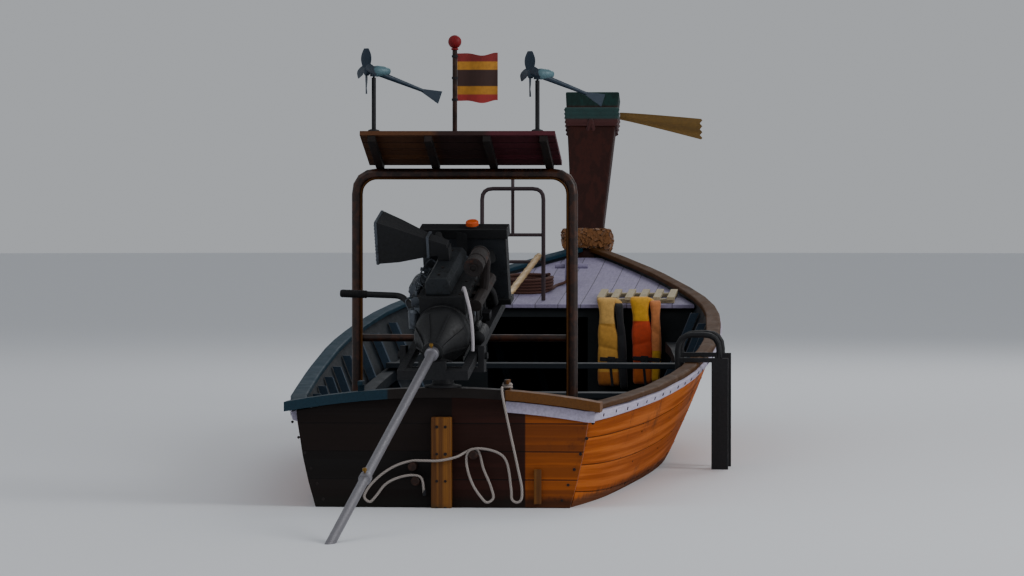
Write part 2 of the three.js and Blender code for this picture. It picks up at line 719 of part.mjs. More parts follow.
function foredeck() {
  const planking = loft(stationsBetween(DECK_FROM, DECK_TO).map((x) => {
    const [high, low] = [deckTop(x), deckTop(x) - DECK_THICK];
    const half = Math.max(innerWidth(x, low) - 4, 12);
    return [[x, half, low], [x, half, high], [x, -half, high], [x, -half, low]];
  }));
  const { x, half, tall } = BITT;
  const base = deckTop(x);
  return join(planking, box(x - half, x + half, -half, half, base - 12, base + tall),
    rodY(-110, 110, x, base + tall - 48, 17, 10));
}

function bulkhead() {
  const [aft, fore] = [BULKHEAD_X, BULKHEAD_X + BULKHEAD_THICK];
  const top = sheerAt(aft) - DECK_DROP - DECK_THICK - GAP * 2;
  const rings = [aft, fore].map((x) => {
    const half = resampled(clipped(inset(shellAt(x).inner, 4), top), 9);
    return [...half, ...mirrored(half)].map(([y, z]) => [x, y, z]);
  });
  const keelsonTop = shellAt(aft).inner.at(-1)[1] + GAP + KEELSON_THICK;
  return cut(loft(rings), box(aft - 5, fore + 5, -KEELSON_HALF - 2, KEELSON_HALF + 2, keelsonTop - 90, keelsonTop + 2),
    box(aft - 5, fore + 5, HATCH.y0, HATCH.y1, HATCH.z0, HATCH.z1));
}

function foreHoop() {
  const { x, y, half, top, radius, corner, bars } = HOOP;
  const foot = deckTop(x + radius) + GAP;
  const frame = [[x, y - half, foot], [x, y - half, top], [x, y + half, top], [x, y + half, foot]];
  return join(pipe(frame, corner, radius, 8), ...bars.map((z) => rodY(y - half, y + half, x, z, radius * 0.8, 8)),
    rodZ(bars[1], HOOP_CENTRE_TOP, x, y, radius * 0.8, 8));
}

function deckGrating() {
  const { length, width, slats, slat, thick } = GRATING;
  const pitch = (width - slat) / (slats - 1);
  const rows = Array.from({ length: slats }, (_, i) => {
    const y = -width / 2 + slat / 2 + pitch * i;
    return box(-length / 2, length / 2, y - slat / 2, y + slat / 2, thick, 2 * thick);
  });
  const battens = [-0.36, 0.36].map((f) => box(length * f - 22, length * f + 22, -width / 2, width / 2, 0, thick + 4));
  return join(...rows, ...battens);
}

// Lays a piece on the sloping deck
function onDeck(mesh, x, y) {
  const rise = Math.atan2(deckTop(x + 60) - deckTop(x - 60), 120);
  mesh.position.set(x, y, deckTop(x) + GAP * 1.5);
  mesh.rotation.y = -rise;
}

// Arch over the stern, with its roof, staff and vanes

function archFrame() {
  const { x, half, top, radius, corner, railZ, railRadius } = ARCH;
  const foot = RISER_Z + SEAT_THICK + 2 * GAP;
  const frame = [[x, -half, foot], [x, -half, top], [x, half, top], [x, half, foot]];
  const flanges = [-half, half].map((y) => rodZ(foot, foot + 12, x, y, 62, 12));
  return join(pipe(frame, corner, radius, 12), rodY(-half, half, x, railZ, railRadius, 12), ...flanges);
}

// The roof lies in a frame of its own, whose origin is at the bearers' fore end: it runs up the slope towards -x
const roof = new THREE.Group();
boat.add(roof);
roof.rotation.y = ROOF.tilt * DEGREE;
roof.position.set(ROOF.overhang, 0, ROOF.seat).applyEuler(roof.rotation);
roof.position.add(new THREE.Vector3(ARCH.x, 0, ARCH.top));
roof.updateMatrixWorld(true);

function roofPoint(along, y, up) {
  return new THREE.Vector3(-along, y, up).applyMatrix4(roof.matrixWorld);
}

function roofBoard() {
  const { width, length, thick, planks, frame, seat, overhang } = ROOF;
  const pitch = length / planks;
  const rows = Array.from({ length: planks }, (_, i) => box(-pitch * (i + 1) + 3, -pitch * i - 3, -width / 2,
    width / 2, frame, frame + thick));
  const bearers = [-0.44, -0.15, 0.15, 0.44].map((f) => box(-length + 8, -8, width * f - 20, width * f + 20, 0,
    frame + 4));
  const notch = rodY(-width / 2, width / 2, -overhang, -seat, ARCH.radius + 2 * GAP, 24);
  return cut(join(...rows, ...bearers), notch);
}

// A flange that lies on the sloping roof, and the point at its middle
function roofFoot(along, y) {
  const foot = roofPoint(along, y, ROOF.frame + ROOF.thick + GAP);
  const flange = rodZ(0, 14, 0, 0, ROOF_FOOT_RADIUS, 12).rotateY(roof.rotation.y).translate(foot.x, foot.y, foot.z);
  return { foot, flange };
}

function flagStaff() {
  const { y, along, top, radius, ball } = FLAG_STAFF;
  const { foot, flange } = roofFoot(along, y);
  return { foot, geometry: join(rodZ(foot.z + 7, top, foot.x, y, radius, 10), flange,
    new THREE.SphereGeometry(ball, 12, 8).rotateX(PI / 2).translate(foot.x, y, top)) };
}

function vanePole(y, hubZ) {
  const { foot, flange } = roofFoot(VANE_ALONG, y);
  return { foot, geometry: join(rodZ(foot.z + 7, hubZ - VANE.hubDrop - 6, foot.x, y, VANE.pole, 10), flange,
    rodZ(foot.z + 7, hubZ - VANE.hubDrop + 18, foot.x, y, VANE.pin, 10)) };
}

// A vane's body: a hub on the pole, a boom that droops to starboard and a tail plate
function vaneBody() {
  const { boom, boomLength, droop, tailLength, tailHeight, hub, hubDrop, pin, shaft, shaftTo } = VANE;
  const boomRod = rodY(-boomLength, 0, 0, 0, boom, 8);
  const tail = loft([-4, 4].map((x) => [[x, -boomLength + 40, 0], [x, -boomLength - tailLength, tailHeight / 2],
    [x, -boomLength - tailLength, -tailHeight / 2]]));
  const arm = join(boomRod, tail).rotateX(droop * DEGREE);
  return cut(join(arm, rodZ(-hubDrop, 24, 0, 0, hub, 12), rodY(0, shaftTo, 0, 0, shaft, 10)),
    rodZ(-hubDrop - 5, -hubDrop + 21, 0, 0, pin + PIN_PLAY, 12));
}

function vaneRotor() {
  const { rotor, shaft, shaftTo, rotorAt } = VANE;
  const blades = Array.from({ length: 4 }, (_, i) => new THREE.BoxGeometry(62, 5, rotor - 14)
    .translate(6, 0, (rotor - 14) / 2 + 14).rotateZ(0.42).rotateY((i * PI) / 2));
  return cut(join(rodY(-13, 15, 0, 0, 24, 12), ...blades),
    rodY(-30, shaftTo - rotorAt + 1, 0, 0, shaft + PIN_PLAY, 12));
}

// Ladder hooked over the starboard gunwale: rails of plank, with a bent tube up over the side on each

function ladder() {
  const { x, half, y, bottom, bend, reach, radius, corner, hook, restHalf, restTall, plankHalf, plankOut, plankIn }
    = LADDER;
  const seatAt = (at) => sheerAt(at + restHalf) + GUNWALE_THICK + 2 * GAP;
  const rails = [x - half, x + half].map((at) => pipe([[at, y, bottom], [at, y, bend + reach / 2],
    [at, y + reach, bend + reach / 2], [at, y + reach, seatAt(at) - hook]], corner, radius, 10));
  const rungs = RUNGS.map((z) => rodY(x - half, x + half, 0, 0, 14, 8).rotateZ(-PI / 2).translate(0, y, z));
  const rests = [x - half, x + half].map((at) => box(at - restHalf, at + restHalf, y, y + reach, seatAt(at),
    seatAt(at) + restTall));
  const planks = [x - half, x + half].map((at) => box(at - plankHalf, at + plankHalf, y - plankOut, y + plankIn, bottom,
    seatAt(at) + restTall - 2));
  return join(...rails, ...rungs, ...rests, ...planks);
}

// Swivel: a socket on the transom and a fork that turns in it

function swivelSocket() {
  const { radius, flange, flangeThick, top, bore } = SOCKET;
  const base = CAP_CENTRE_Z + CAP_THICK + GAP;
  return lathe([[bore, base], [flange, base], [flange, base + flangeThick], [radius, base + flangeThick + 6],
    [radius - 6, top], [bore, top], [bore, base]], 20).rotateX(PI / 2).translate(PIVOT_X, 0, 0);
}

function swivelFork() {
  const { inner, thick, half, beamTop, beamBottom, top } = FORK;
  const outer = inner + thick;
  const arms = [1, -1].map((side) => box(-half, half, Math.min(side * inner, side * outer),
    Math.max(side * inner, side * outer), beamBottom, top));
  const holes = [1, -1].map((side) => rodY(Math.min(side * inner, side * outer) - 5,
    Math.max(side * inner, side * outer) + 5, 0, TILT_Z, PIN_RADIUS + 0.6, 16));
  const pinFoot = CAP_CENTRE_Z + CAP_THICK + 8;
  return cut(join(box(-half, half, -outer, outer, beamBottom, beamTop), ...arms,
    rodZ(pinFoot, beamBottom + 4, 0, 0, SOCKET.bore - 0.5, 18)), ...holes);
}

// Engine pieces, in the engine's frame

function engineFrame() {
  const { from, to, wide, tall } = RAIL;
  const rails = [1, -1].map((side) => box(from, to, side * RAIL_Y - wide / 2, side * RAIL_Y + wide / 2, -tall / 2,
    tall / 2));
  const crosses = [from + 20, to - 60].map((x) => box(x - 20, x + 20, -RAIL_Y, RAIL_Y, -tall / 2, tall / 2));
  const pins = [1, -1].map((side) => rodY(Math.min(side * (RAIL_Y + 10), side * (FORK.inner + FORK.thick + 14)),
    Math.max(side * (RAIL_Y + 10), side * (FORK.inner + FORK.thick + 14)), 0, 0, PIN_RADIUS, 16));
  const brackets = [150, 500].flatMap((x) => [1, -1].map((side) => box(x - 32, x + 32,
    Math.min(side * (BLOCK.half + GAP), side * RAIL_Y), Math.max(side * (BLOCK.half + GAP), side * RAIL_Y), 0, 66)));
  const saddle = box(from, from + 36, -70, 70, -tall / 2, SHAFT_Z - COLLAR_RADIUS - GAP);
  return join(...rails, ...crosses, ...pins, ...brackets, saddle);
}

function engineBlock() {
  const { from, to, half, top, sump, sumpHalf, deck } = BLOCK;
  const outline = [[-half, deck], [-half, top], [half, top], [half, deck], [sumpHalf, deck - 34], [sumpHalf, sump],
    [-sumpHalf, sump], [-sumpHalf, deck - 34]];
  return loft([from, to].map((x) => outline.map(([y, z]) => [x, y, z])));
}

function valveCover() {
  const low = BLOCK.top + GAP;
  const section = [[-40, low], [-40, low + 66], [-20, low + 92], [70, low + 92], [92, low + 66], [92, low]];
  return loft([[BLOCK.from + 26, 0.96], [BLOCK.from + 44, 1], [BLOCK.to - 44, 1], [BLOCK.to - 26, 0.96]]
    .map(([x, scale]) => section.map(([y, z]) => [x, y * scale, low + (z - low) * scale])));
}

// The flared intake box stands off to port, above the valve cover
function airCleaner() {
  const low = BLOCK.top + GAP + 92 + GAP;
  const trunk = [[0, 40, 26, 40], [110, 46, 52, 52], [250, 78, 92, 74], [345, 96, 112, 92], [366, 96, 112, 92]];
  const rings = trunk.map(([y, halfX, halfZ, lift]) => [[-halfX, -halfZ], [halfX, -halfZ], [halfX, halfZ],
    [-halfX, halfZ]].map(([x, z]) => [400 + x, 20 + y, low + 62 + (lift - 40) + z]));
  return join(loft(rings), box(360, 440, 10, 70, low, low + 70));
}

function exhaust() {
  const y = -BLOCK.half - 42;
  const ports = [150, 270, 400, 520].map((x) => box(x - 24, x + 24, y - 6, -BLOCK.half - GAP, 208, 252));
  const manifold = rodX(120, 556, y, 230, 32, 10);
  const pipe = tube(smoothCurve([[330, y, 230], [330, y - 14, 300], [316, y - 26, 380], [270, y - 36, 450],
    [170, y - 44, 500], [60, y - 48, 520]]), 25, 10, 20);
  const silencer = rodX(-120, 90, y - 48, 522, 48, 14);
  return join(manifold, ...ports, pipe, silencer);
}

function radiator() {
  const x = RAIL.to - 60;
  const low = RAIL.tall / 2 + GAP;
  return join(box(x - 36, x + 36, -225, 225, low, 430), box(x - 46, x + 46, -236, 236, low, 56),
    box(x - 46, x + 46, -236, 236, 392, 446), rodZ(440, 478, x, -44, 30, 12));
}

function beltDrive() {
  const at = BLOCK.to + GAP;
  const discs = [[SHAFT_Z, 0, 78], [SHAFT_Z + 150, 0, 66]].map(([z, y, radius]) => rodX(at + 8, at + 40, y, z, radius,
    16));
  const hub = rodX(at, at + 62, 0, SHAFT_Z + 150, 26, 12);
  const crank = rodX(at, at + 30, 0, SHAFT_Z, 30, 12);
  const belt = box(at + 14, at + 32, -64, 64, SHAFT_Z, SHAFT_Z + 150);
  const blades = Array.from({ length: 5 }, (_, i) => new THREE.BoxGeometry(7, 72, 172).rotateZ(0.5)
    .translate(0, 0, 96).rotateX((i * 2 * PI) / 5).translate(at + 62, 0, SHAFT_Z + 150));
  const fan = rodX(at + 44, at + 80, 0, SHAFT_Z + 150, 38, 12);
  return join(...discs, hub, crank, belt, ...blades, fan);
}

function alternator() {
  const y = BLOCK.half + 76;
  return join(rodX(440, 606, y, 190, 62, 14), rodX(606, 640, y, 190, 34, 12),
    box(470, 520, BLOCK.half + GAP, y, 168, 212));
}

// The bell housing tapers from the block to the tail tube
function bellHousing() {
  const stations = [[BLOCK.from - GAP, 148], [10, 146], [-50, 132], [-120, 92], [-205, 60], [-240, 54], [-261.4, 54]];
  return lathe([[0, stations[0][0]], ...stations.map(([x, radius]) => [radius, x]), [0, -261.4]], 20)
    .rotateZ(-PI / 2).translate(0, 0, SHAFT_Z);
}

function tailTube() {
  const body = rodX(TUBE_TO, TUBE_FROM, 0, SHAFT_Z, TUBE_RADIUS, 16);
  const collars = [[-300, TUBE_FROM, COLLAR_RADIUS], [-2060, -2010, 31], [TUBE_TO, TUBE_TO + 90, 34]];
  return cut(join(body, ...collars.map(([from, to, radius]) => rodX(from, to, 0, SHAFT_Z, radius, 16))),
    rodX(TUBE_TO - 5, TUBE_TO + PROP.socket, 0, SHAFT_Z, PROP.shaft + 0.5, 14));
}

// A fin under the tube guards the propeller
function skeg() {
  const low = SHAFT_Z - TUBE_RADIUS - GAP;
  const outline = [[-3380, low], [-3864, low], [-3912, low - 34], [-3950, SHAFT_Z - 152], [-4180, SHAFT_Z - 156],
    [-4205, SHAFT_Z - 166], [-4180, SHAFT_Z - 182], [-3900, SHAFT_Z - 190], [-3720, SHAFT_Z - 142]];
  return loft([-4.5, 4.5].map((y) => outline.map(([x, z]) => [x, y, z])));
}

function propeller() {
  const { from, to, hub, radius, shaft, socket, blades } = PROP;
  const body = lathe([[0, from], [hub - 5, from], [hub, from - 14], [hub, to + 34], [hub - 14, to + 8], [0, to]], 16)
    .rotateZ(-PI / 2);
  const stub = rodX(from - 6, from + socket - 8, 0, 0, shaft, 14);
  const middle = (from + to) / 2;
  const blade = [[hub - 6, 20, 12, 62], [60, 44, 10, 48], [100, 52, 7, 34], [radius - 10, 36, 5, 26], [radius, 14, 4, 24]]
    .map(([r, halfChord, thick, pitch]) => {
      const [c, s] = [Math.cos(pitch * DEGREE), Math.sin(pitch * DEGREE)];
      return [[-halfChord, 0], [0, thick / 2], [halfChord, 0], [0, -thick / 2]]
        .map(([along, off]) => [middle + along * c - off * s, along * s + off * c, r]);
    });
  const shape = loft(blade);
  const copies = Array.from({ length: blades }, (_, i) => shape.clone().rotateX((i * 2 * PI) / blades));
  return join(body, stub, ...copies);
}

function tiller() {
  const y = RAIL_Y + RAIL.wide / 2 + GAP;
  const arm = pipe([[690, y + 12, -4], [690, 268, 2], [800, 372, 44], [800, 700, 56]], 34, TILLER_RADIUS, 10);
  return join(arm, box(664, 736, y, y + 20, -20, 24));
}

// Soft pieces

// A stuffed form: a box whose outline shrinks towards its front and back
function pillow(width, height, thick) {
  const layers = [[-1, 0.82], [-0.55, 0.97], [0, 1], [0.55, 0.97], [1, 0.82]];
  return loft(layers.map(([t, scale]) => [[-0.5, -0.42], [-0.42, -0.5], [0.42, -0.5], [0.5, -0.42], [0.5, 0.36],
    [0.3, 0.5], [-0.3, 0.5], [-0.5, 0.36]].map(([u, v]) => [(thick / 2) * t, u * width * scale, v * height * scale])));
}

function fuelCan() {
  const body = new THREE.BoxGeometry(330, 165, 400);
  return join(body, box(-90, 90, -14, 14, 192, 236), rodZ(190, 232, 128, 0, 26, 12));
}

function anchorCoil() {
  const { mean, columns, layers } = COIL;
  const [wide, tall] = [columns * ANCHOR_ROPE_RADIUS, layers * 2 * ANCHOR_ROPE_RADIUS];
  const ring = [[mean - wide, 4], [mean - wide + 4, 0], [mean + wide - 4, 0], [mean + wide, 4], [mean + wide, tall - 6],
    [mean + wide - 6, tall], [mean - wide + 6, tall], [mean - wide, tall - 6], [mean - wide, 4]];
  return lathe(ring, 28).rotateX(PI / 2);
}

function anchorLead() {
  const points = ANCHOR_ROPE_LEAD.map(([along, y, height]) => {
    const x = BITT.x - BITT.half + along;
    return [x, y, deckTop(x) + height];
  });
  return tube(smoothCurve(points), ANCHOR_ROPE_RADIUS, 8, 24);
}

function streamer() {
  const { z, length, root, tip, drop, thick } = STREAMER;
  const ring = prowRingAt(z);
  const start = prowRingAt(z + root / 2)[2] + SASH.grow + SASH_BULGE + GAP;
  const x = ring[0] + ring[3] / 2;
  return loft([0, 0.25, 0.5, 0.75, 1].map((t) => {
    const y = -start - length * t;
    const middle = z - drop * t ** 1.1;
    const half = (root + (tip - root) * t) / 2;
    const sway = 16 * Math.sin(PI * 1.5 * t);
    return [[x - thick / 2 + sway, y, middle - half], [x + thick / 2 + sway, y, middle - half],
      [x + thick / 2 + sway, y, middle + half], [x - thick / 2 + sway, y, middle + half]];
  }));
}

// Assembly

piece('hull_shell', hullShell(), 'varnish');
piece('transom_board', transomBoard(), 'darkWood');
piece('transom_cap', transomCap(), 'teal');
piece('stern_post', sternPost(), 'amberWood');
piece('keel', keel(), 'darkWood');
piece('prow_post', prow(), 'prowWood');
piece('gunwale_port', gunwale(1), 'teal');
piece('gunwale_starboard', gunwale(-1), 'gold');
piece('rub_rail_port', rubRail(1), 'pale');
piece('rub_rail_starboard', rubRail(-1), 'pale');
piece('frames_aft', frames(RIB_FIRST - KEELSON_OVER, KEELSON_SCARF), 'interior');
piece('frames_fore', frames(KEELSON_SCARF + GAP, KEELSON_TO), 'interior');
piece('seat_riser_port', riser(1), 'interior');
piece('seat_riser_starboard', riser(-1), 'interior');
piece('sole_boards', boards({ from: SOLE_FROM, to: SOLE_TO, count: SOLE_BOARDS, pitch: SOLE_PITCH, board: SOLE_BOARD,
  top: SOLE_TOP, thick: SOLE_THICK, battens: SOLE_BATTENS }), 'interior');
const platformTop = RISER_Z + GAP + PLATFORM_THICK;
piece('stern_platform', boards({ from: PLATFORM_FROM, to: PLATFORM_TO, count: PLATFORM_BOARDS, pitch: PLATFORM_PITCH,
  board: PLATFORM_BOARD, top: platformTop, thick: PLATFORM_THICK,
  battens: PLATFORM_BATTENS }), 'interior');
THWARTS.forEach((row, i) => piece(`thwart_${i + 1}`, thwart(row), 'interior'));
piece('foredeck', foredeck(), 'deck');
piece('bulkhead', bulkhead(), 'interior');
piece('fore_hoop', foreHoop(), 'greyMetal');
onDeck(piece('deck_grating', deckGrating(), 'pale'), GRATING.x, GRATING.y);
onDeck(piece('anchor_rope_coil', anchorCoil(), 'rope'), COIL.x, COIL.y);
piece('anchor_rope_lead', anchorLead(), 'rope');
piece('punt_pole', tube(new THREE.LineCurve3(new THREE.Vector3(...POLE.from), new THREE.Vector3(...POLE.to)),
  POLE.radius, 10, 1), 'bamboo');
piece('stern_arch', archFrame(), 'darkWood');
piece('roof_board', roofBoard(), 'darkWood', roof);

const staff = flagStaff();
piece('flag_staff', staff.geometry, 'red');
piece('flag', box(staff.foot.x - FLAG.thick / 2, staff.foot.x + FLAG.thick / 2,
  FLAG_STAFF.y - FLAG_STAFF.radius - GAP - FLAG.length, FLAG_STAFF.y - FLAG_STAFF.radius - GAP, FLAG.bottom, FLAG.top),
'flag');

for (const [name, y, hubZ] of VANES) {
  const pole = vanePole(y, hubZ);
  piece(`vane_pole_${name}`, pole.geometry, 'iron');
  const head = new THREE.Group();
  head.position.set(pole.foot.x, y, hubZ);
  head.rotation.z = VANE.turn * DEGREE;
  boat.add(head);
  piece(`vane_${name}`, vaneBody(), 'navy', head);
  piece(`vane_rotor_${name}`, vaneRotor(), 'navy', head).position.set(0, VANE.rotorAt, 0);
}

piece('boarding_ladder', ladder(), 'iron');
piece('prow_garland', prowBand(GARLAND, 10), 'goldCloth');
piece('prow_sash', prowBand(SASH, SASH_BULGE), 'greenCloth');
piece('prow_streamer', streamer(), 'goldCloth');
for (const [name, y, z] of VESTS) {
  const vest = piece(`life_vest_${name}`, pillow(VEST.width, VEST.height, VEST.thick), 'orange');
  vest.position.set(DECK_FROM - GAP - VEST.thick / 2, y, z);
}
piece('fuel_can', fuelCan(), 'orange').position.set(-2960, 180, SOLE_TOP + 200 + GAP);
piece('stern_rope', tube(smoothCurve(STERN_ROPE), STERN_ROPE_RADIUS, 8, 90), 'rope');

piece('swivel_socket', swivelSocket(), 'iron');
piece('swivel_fork', swivelFork(), 'iron', swing);
piece('engine_frame', engineFrame(), 'iron', engine);
piece('engine_block', engineBlock(), 'engine', engine);
piece('valve_cover', valveCover(), 'greyMetal', engine);
piece('air_cleaner', airCleaner(), 'engine', engine);
piece('exhaust', exhaust(), 'iron', engine);
piece('radiator', radiator(), 'engine', engine);
piece('belt_drive', beltDrive(), 'greyMetal', engine);
piece('alternator', alternator(), 'greyMetal', engine);
piece('bell_housing', bellHousing(), 'greyMetal', engine);
piece('tail_tube', tailTube(), 'tube', engine);
piece('skeg', skeg(), 'iron', engine);
piece('tiller', tiller(), 'iron', engine);
piece('propeller', propeller(), 'bronze', engine).position.set(0, 0, SHAFT_Z);

export default boat;
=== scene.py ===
"""A wooden longtail boat afloat, dressed for close views.

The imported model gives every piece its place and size. This script rebuilds the curved timber, the ropes and
the cloth as fine meshes around it, rounds the edges of the rest, and gives each piece its finish.
"""

import json
import logging
import math
import random
from collections.abc import Callable, Iterable, Sequence
from dataclasses import dataclass, field
from enum import Enum
from functools import cache
from typing import Self

import bmesh
import bpy
from mathutils import Matrix, Vector
from mathutils.bvhtree import BVHTree

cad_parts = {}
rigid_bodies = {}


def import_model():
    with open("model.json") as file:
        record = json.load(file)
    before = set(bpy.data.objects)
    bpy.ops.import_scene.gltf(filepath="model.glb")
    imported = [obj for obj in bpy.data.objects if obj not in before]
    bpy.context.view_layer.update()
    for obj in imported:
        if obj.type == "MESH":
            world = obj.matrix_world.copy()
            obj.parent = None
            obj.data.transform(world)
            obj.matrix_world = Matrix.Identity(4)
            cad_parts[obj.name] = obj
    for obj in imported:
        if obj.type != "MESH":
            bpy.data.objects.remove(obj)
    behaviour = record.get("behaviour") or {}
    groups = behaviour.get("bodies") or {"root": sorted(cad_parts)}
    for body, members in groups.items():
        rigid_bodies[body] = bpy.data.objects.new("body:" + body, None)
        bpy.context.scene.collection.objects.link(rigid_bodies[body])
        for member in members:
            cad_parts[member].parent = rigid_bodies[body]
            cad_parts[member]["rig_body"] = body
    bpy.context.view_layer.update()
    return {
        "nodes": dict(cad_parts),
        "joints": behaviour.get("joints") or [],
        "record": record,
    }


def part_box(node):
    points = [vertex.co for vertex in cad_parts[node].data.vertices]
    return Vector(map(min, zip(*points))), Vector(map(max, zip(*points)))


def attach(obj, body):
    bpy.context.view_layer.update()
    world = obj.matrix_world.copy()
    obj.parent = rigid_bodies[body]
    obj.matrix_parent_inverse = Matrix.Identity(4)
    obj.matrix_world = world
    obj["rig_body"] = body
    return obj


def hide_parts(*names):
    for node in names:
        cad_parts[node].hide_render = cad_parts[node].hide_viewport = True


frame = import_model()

log = logging.getLogger("longtail_boat")

Point = tuple[float, float, float]
Pair = tuple[float, float]
Colour = tuple[float, float, float, float]
Spot = tuple[Vector, Vector]
Ring = Sequence[Sequence[float]]
Faces = list[tuple[int, ...]]
Mesh = bpy.types.Mesh
Node = bpy.types.Node
NodeTree = bpy.types.NodeTree
Piece = bpy.types.Object
Socket = bpy.types.NodeSocket
Sockets = dict[str, Socket]

NODE_SLOTS = {row["node"]: row["material_slot"] for row in frame["record"]["subparts"]}
GAP = 0.0003
LEAST_RADIUS = 1e-4
LEAST_SPAN = 1e-4
MERGE_WITHIN = 2e-5
FLAT_WITHIN = math.radians(1.2)
BEVEL_FROM = math.radians(32)
FORE = (1.0, 0.0, 0.0)
AFT = (-1.0, 0.0, 0.0)
UP = (0.0, 0.0, 1.0)


class Axis(Enum):
    """The axis that a pattern runs along or is counted on."""

    X = 0
    Y = 1
    Z = 2


class Lie(Enum):
    """How the threads of a cloth lie on a piece that isn't a grid."""

    UNSET = 0
    ACROSS = 1
    AROUND = 2


class Body(Enum):
    """The moving bodies of the boat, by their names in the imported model."""

    HULL = "root"
    SWIVEL = "swivel"
    ENGINE = "engine"
    PROPELLER = "propeller"
    VANE_PORT = "vane_port"
    VANE_STARBOARD = "vane_starboard"
    ROTOR_PORT = "rotor_port"
    ROTOR_STARBOARD = "rotor_starboard"


# Colours and node trees


def rgb(code: str) -> Colour:
    """Turns a screen colour of six hexadecimal digits into the linear one that a shader takes."""
    levels = [int(code[i : i + 2], 16) / 255 for i in (0, 2, 4)]
    return (*(v / 12.92 if v <= 0.04045 else ((v + 0.055) / 1.055) ** 2.4 for v in levels), 1.0)


class Tree:
    """Adds nodes to one node tree and joins them."""

    def __init__(self, tree: NodeTree) -> None:
        """Keeps the tree and clears it."""
        self.tree = tree
        self.tree.nodes.clear()

    def node(self, kind: str, *numbered: object, **named: object) -> Node:
        """Adds one node.

        Args:
            kind: Blender's type name of the node.
            *numbered: A value or socket for each input from the first one on, or None to leave it.
            **named: With a capital, an input by name, an underscore for each space. Else a property.

        Returns:
            The new node.
        """
        node = self.tree.nodes.new(kind)
        inputs = dict(enumerate(numbered))
        for key, value in named.items():
            if key[0].isupper():
                inputs[key.replace("_", " ")] = value
            else:
                setattr(node, key, value)
        for key, value in inputs.items():
            if isinstance(value, Socket):
                self.tree.links.new(value, node.inputs[key])
            elif value is not None:
                node.inputs[key].default_value = value
        return node

    def math(self, operation: str, *values: float | Socket) -> Socket:
        """Joins values by one sum, such as ADD, and returns its result."""
        return self.node("ShaderNodeMath", *values, operation=operation).outputs[0]

    def times(self, first: float | Socket, second: float | Socket) -> Socket:
        """Multiplies two values."""
        return self.math("MULTIPLY", first, second)

    def mix(self, share: float | Socket, first: Socket | Colour, second: Socket | Colour) -> Socket:
        """Mixes two colours by the share of the second one."""
        between = [None] * 5
        return self.node("ShaderNodeMix", share, *between, first, second, data_type="RGBA").outputs[2]

    def stain(self, colour: Socket | Colour, mask: Socket, share: float, code: str) -> Socket:
        """Lays a screen colour over another colour, by a share of a mask."""
        return self.mix(self.times(mask, share), colour, rgb(code))

    def ranged(self, value: Socket, low: float, high: float, to_low: float = 0.0,
               to_high: float = 1.0) -> Socket:
        """Maps a value's range smoothly to another one and returns the result."""
        return self.node("ShaderNodeMapRange", Value=value, From_Min=low, From_Max=high, To_Min=to_low,
                         To_Max=to_high, interpolation_type="SMOOTHSTEP").outputs["Result"]

    def noise(self, vector: Socket, scale: float | Socket, detail: float, rough: float) -> Socket:
        """Reads smooth noise at a place and returns its value."""
        return self.node("ShaderNodeTexNoise", Vector=vector, Scale=scale, Detail=detail,
                         Roughness=rough).outputs["Fac"]

    def stretched(self, vector: Socket, scale: Sequence[float]) -> Socket:
        """Scales a place on each axis and returns it."""
        return self.node("ShaderNodeMapping", Vector=vector, Scale=scale).outputs["Vector"]

    def group(self, tree: NodeTree, **inputs: object) -> Sockets:
        """Places a node group and returns what it puts out."""
        return self.node("ShaderNodeGroup", node_tree=tree, **inputs).outputs


class Surface(Tree):
    """The nodes of one material, with the place on the piece that its patterns are read at."""

    def __init__(self, tree: NodeTree) -> None:
        """Adds the place and its parts along the three axes.

        Args:
            tree: The material's own tree.
        """
        super().__init__(tree)
        self.place = self.node("ShaderNodeTexCoord").outputs["Object"]
        self.axes = self.node("ShaderNodeSeparateXYZ", self.place).outputs

    def lie(self) -> Socket:
        """Reads the piece's own UV map."""
        return self.node("ShaderNodeUVMap").outputs["UV"]

    def kept(self, name: str) -> Socket:
        """Reads a number that the mesh keeps at its points."""
        return self.node("ShaderNodeAttribute", attribute_name=name).outputs["Fac"]

    def weather(self, scale: float, amount: float, stretch: Point | None = None) -> Sockets:
        """Places patches of wear or dirt and returns their mask and their fine texture."""
        place = self.stretched(self.place, stretch) if stretch else self.place
        return self.group(WEATHER, Vector=place, Scale=scale, Amount=amount)

    def bump(self, height: Socket, strength: float, distance: float) -> Socket:
        """Turns a height into a normal, by its strength and the metres of one unit."""
        return self.node("ShaderNodeBump", strength, distance, Height=height).outputs["Normal"]


def new_group(name: str, kind: str, inputs: dict[str, str | float], outputs: dict[str, str | float],
              build: Callable[[Tree, Sockets], Sockets]) -> NodeTree:
    """Builds a node group with named sockets.

    Args:
        name: The group's name.
        kind: ShaderNodeTree or GeometryNodeTree.
        inputs: For each socket that goes in, its type, or the default of a number.
        outputs: The same for each socket that comes out.
        build: Adds the nodes and returns the socket for each output's name.

    Returns:
        The group's tree.
    """
    group = bpy.data.node_groups.new(name, kind)
    for direction, sockets in (("INPUT", inputs), ("OUTPUT", outputs)):
        for key, value in sockets.items():
            word = value if isinstance(value, str) else type(value).__name__.capitalize()
            made = group.interface.new_socket(key, in_out=direction, socket_type=f"NodeSocket{word}")
            if not isinstance(value, str):
                made.default_value = value
    tree = Tree(group)
    entry = tree.node("NodeGroupInput")
    tree.node("NodeGroupOutput", **build(tree, {socket.name: socket for socket in entry.outputs}))
    return group


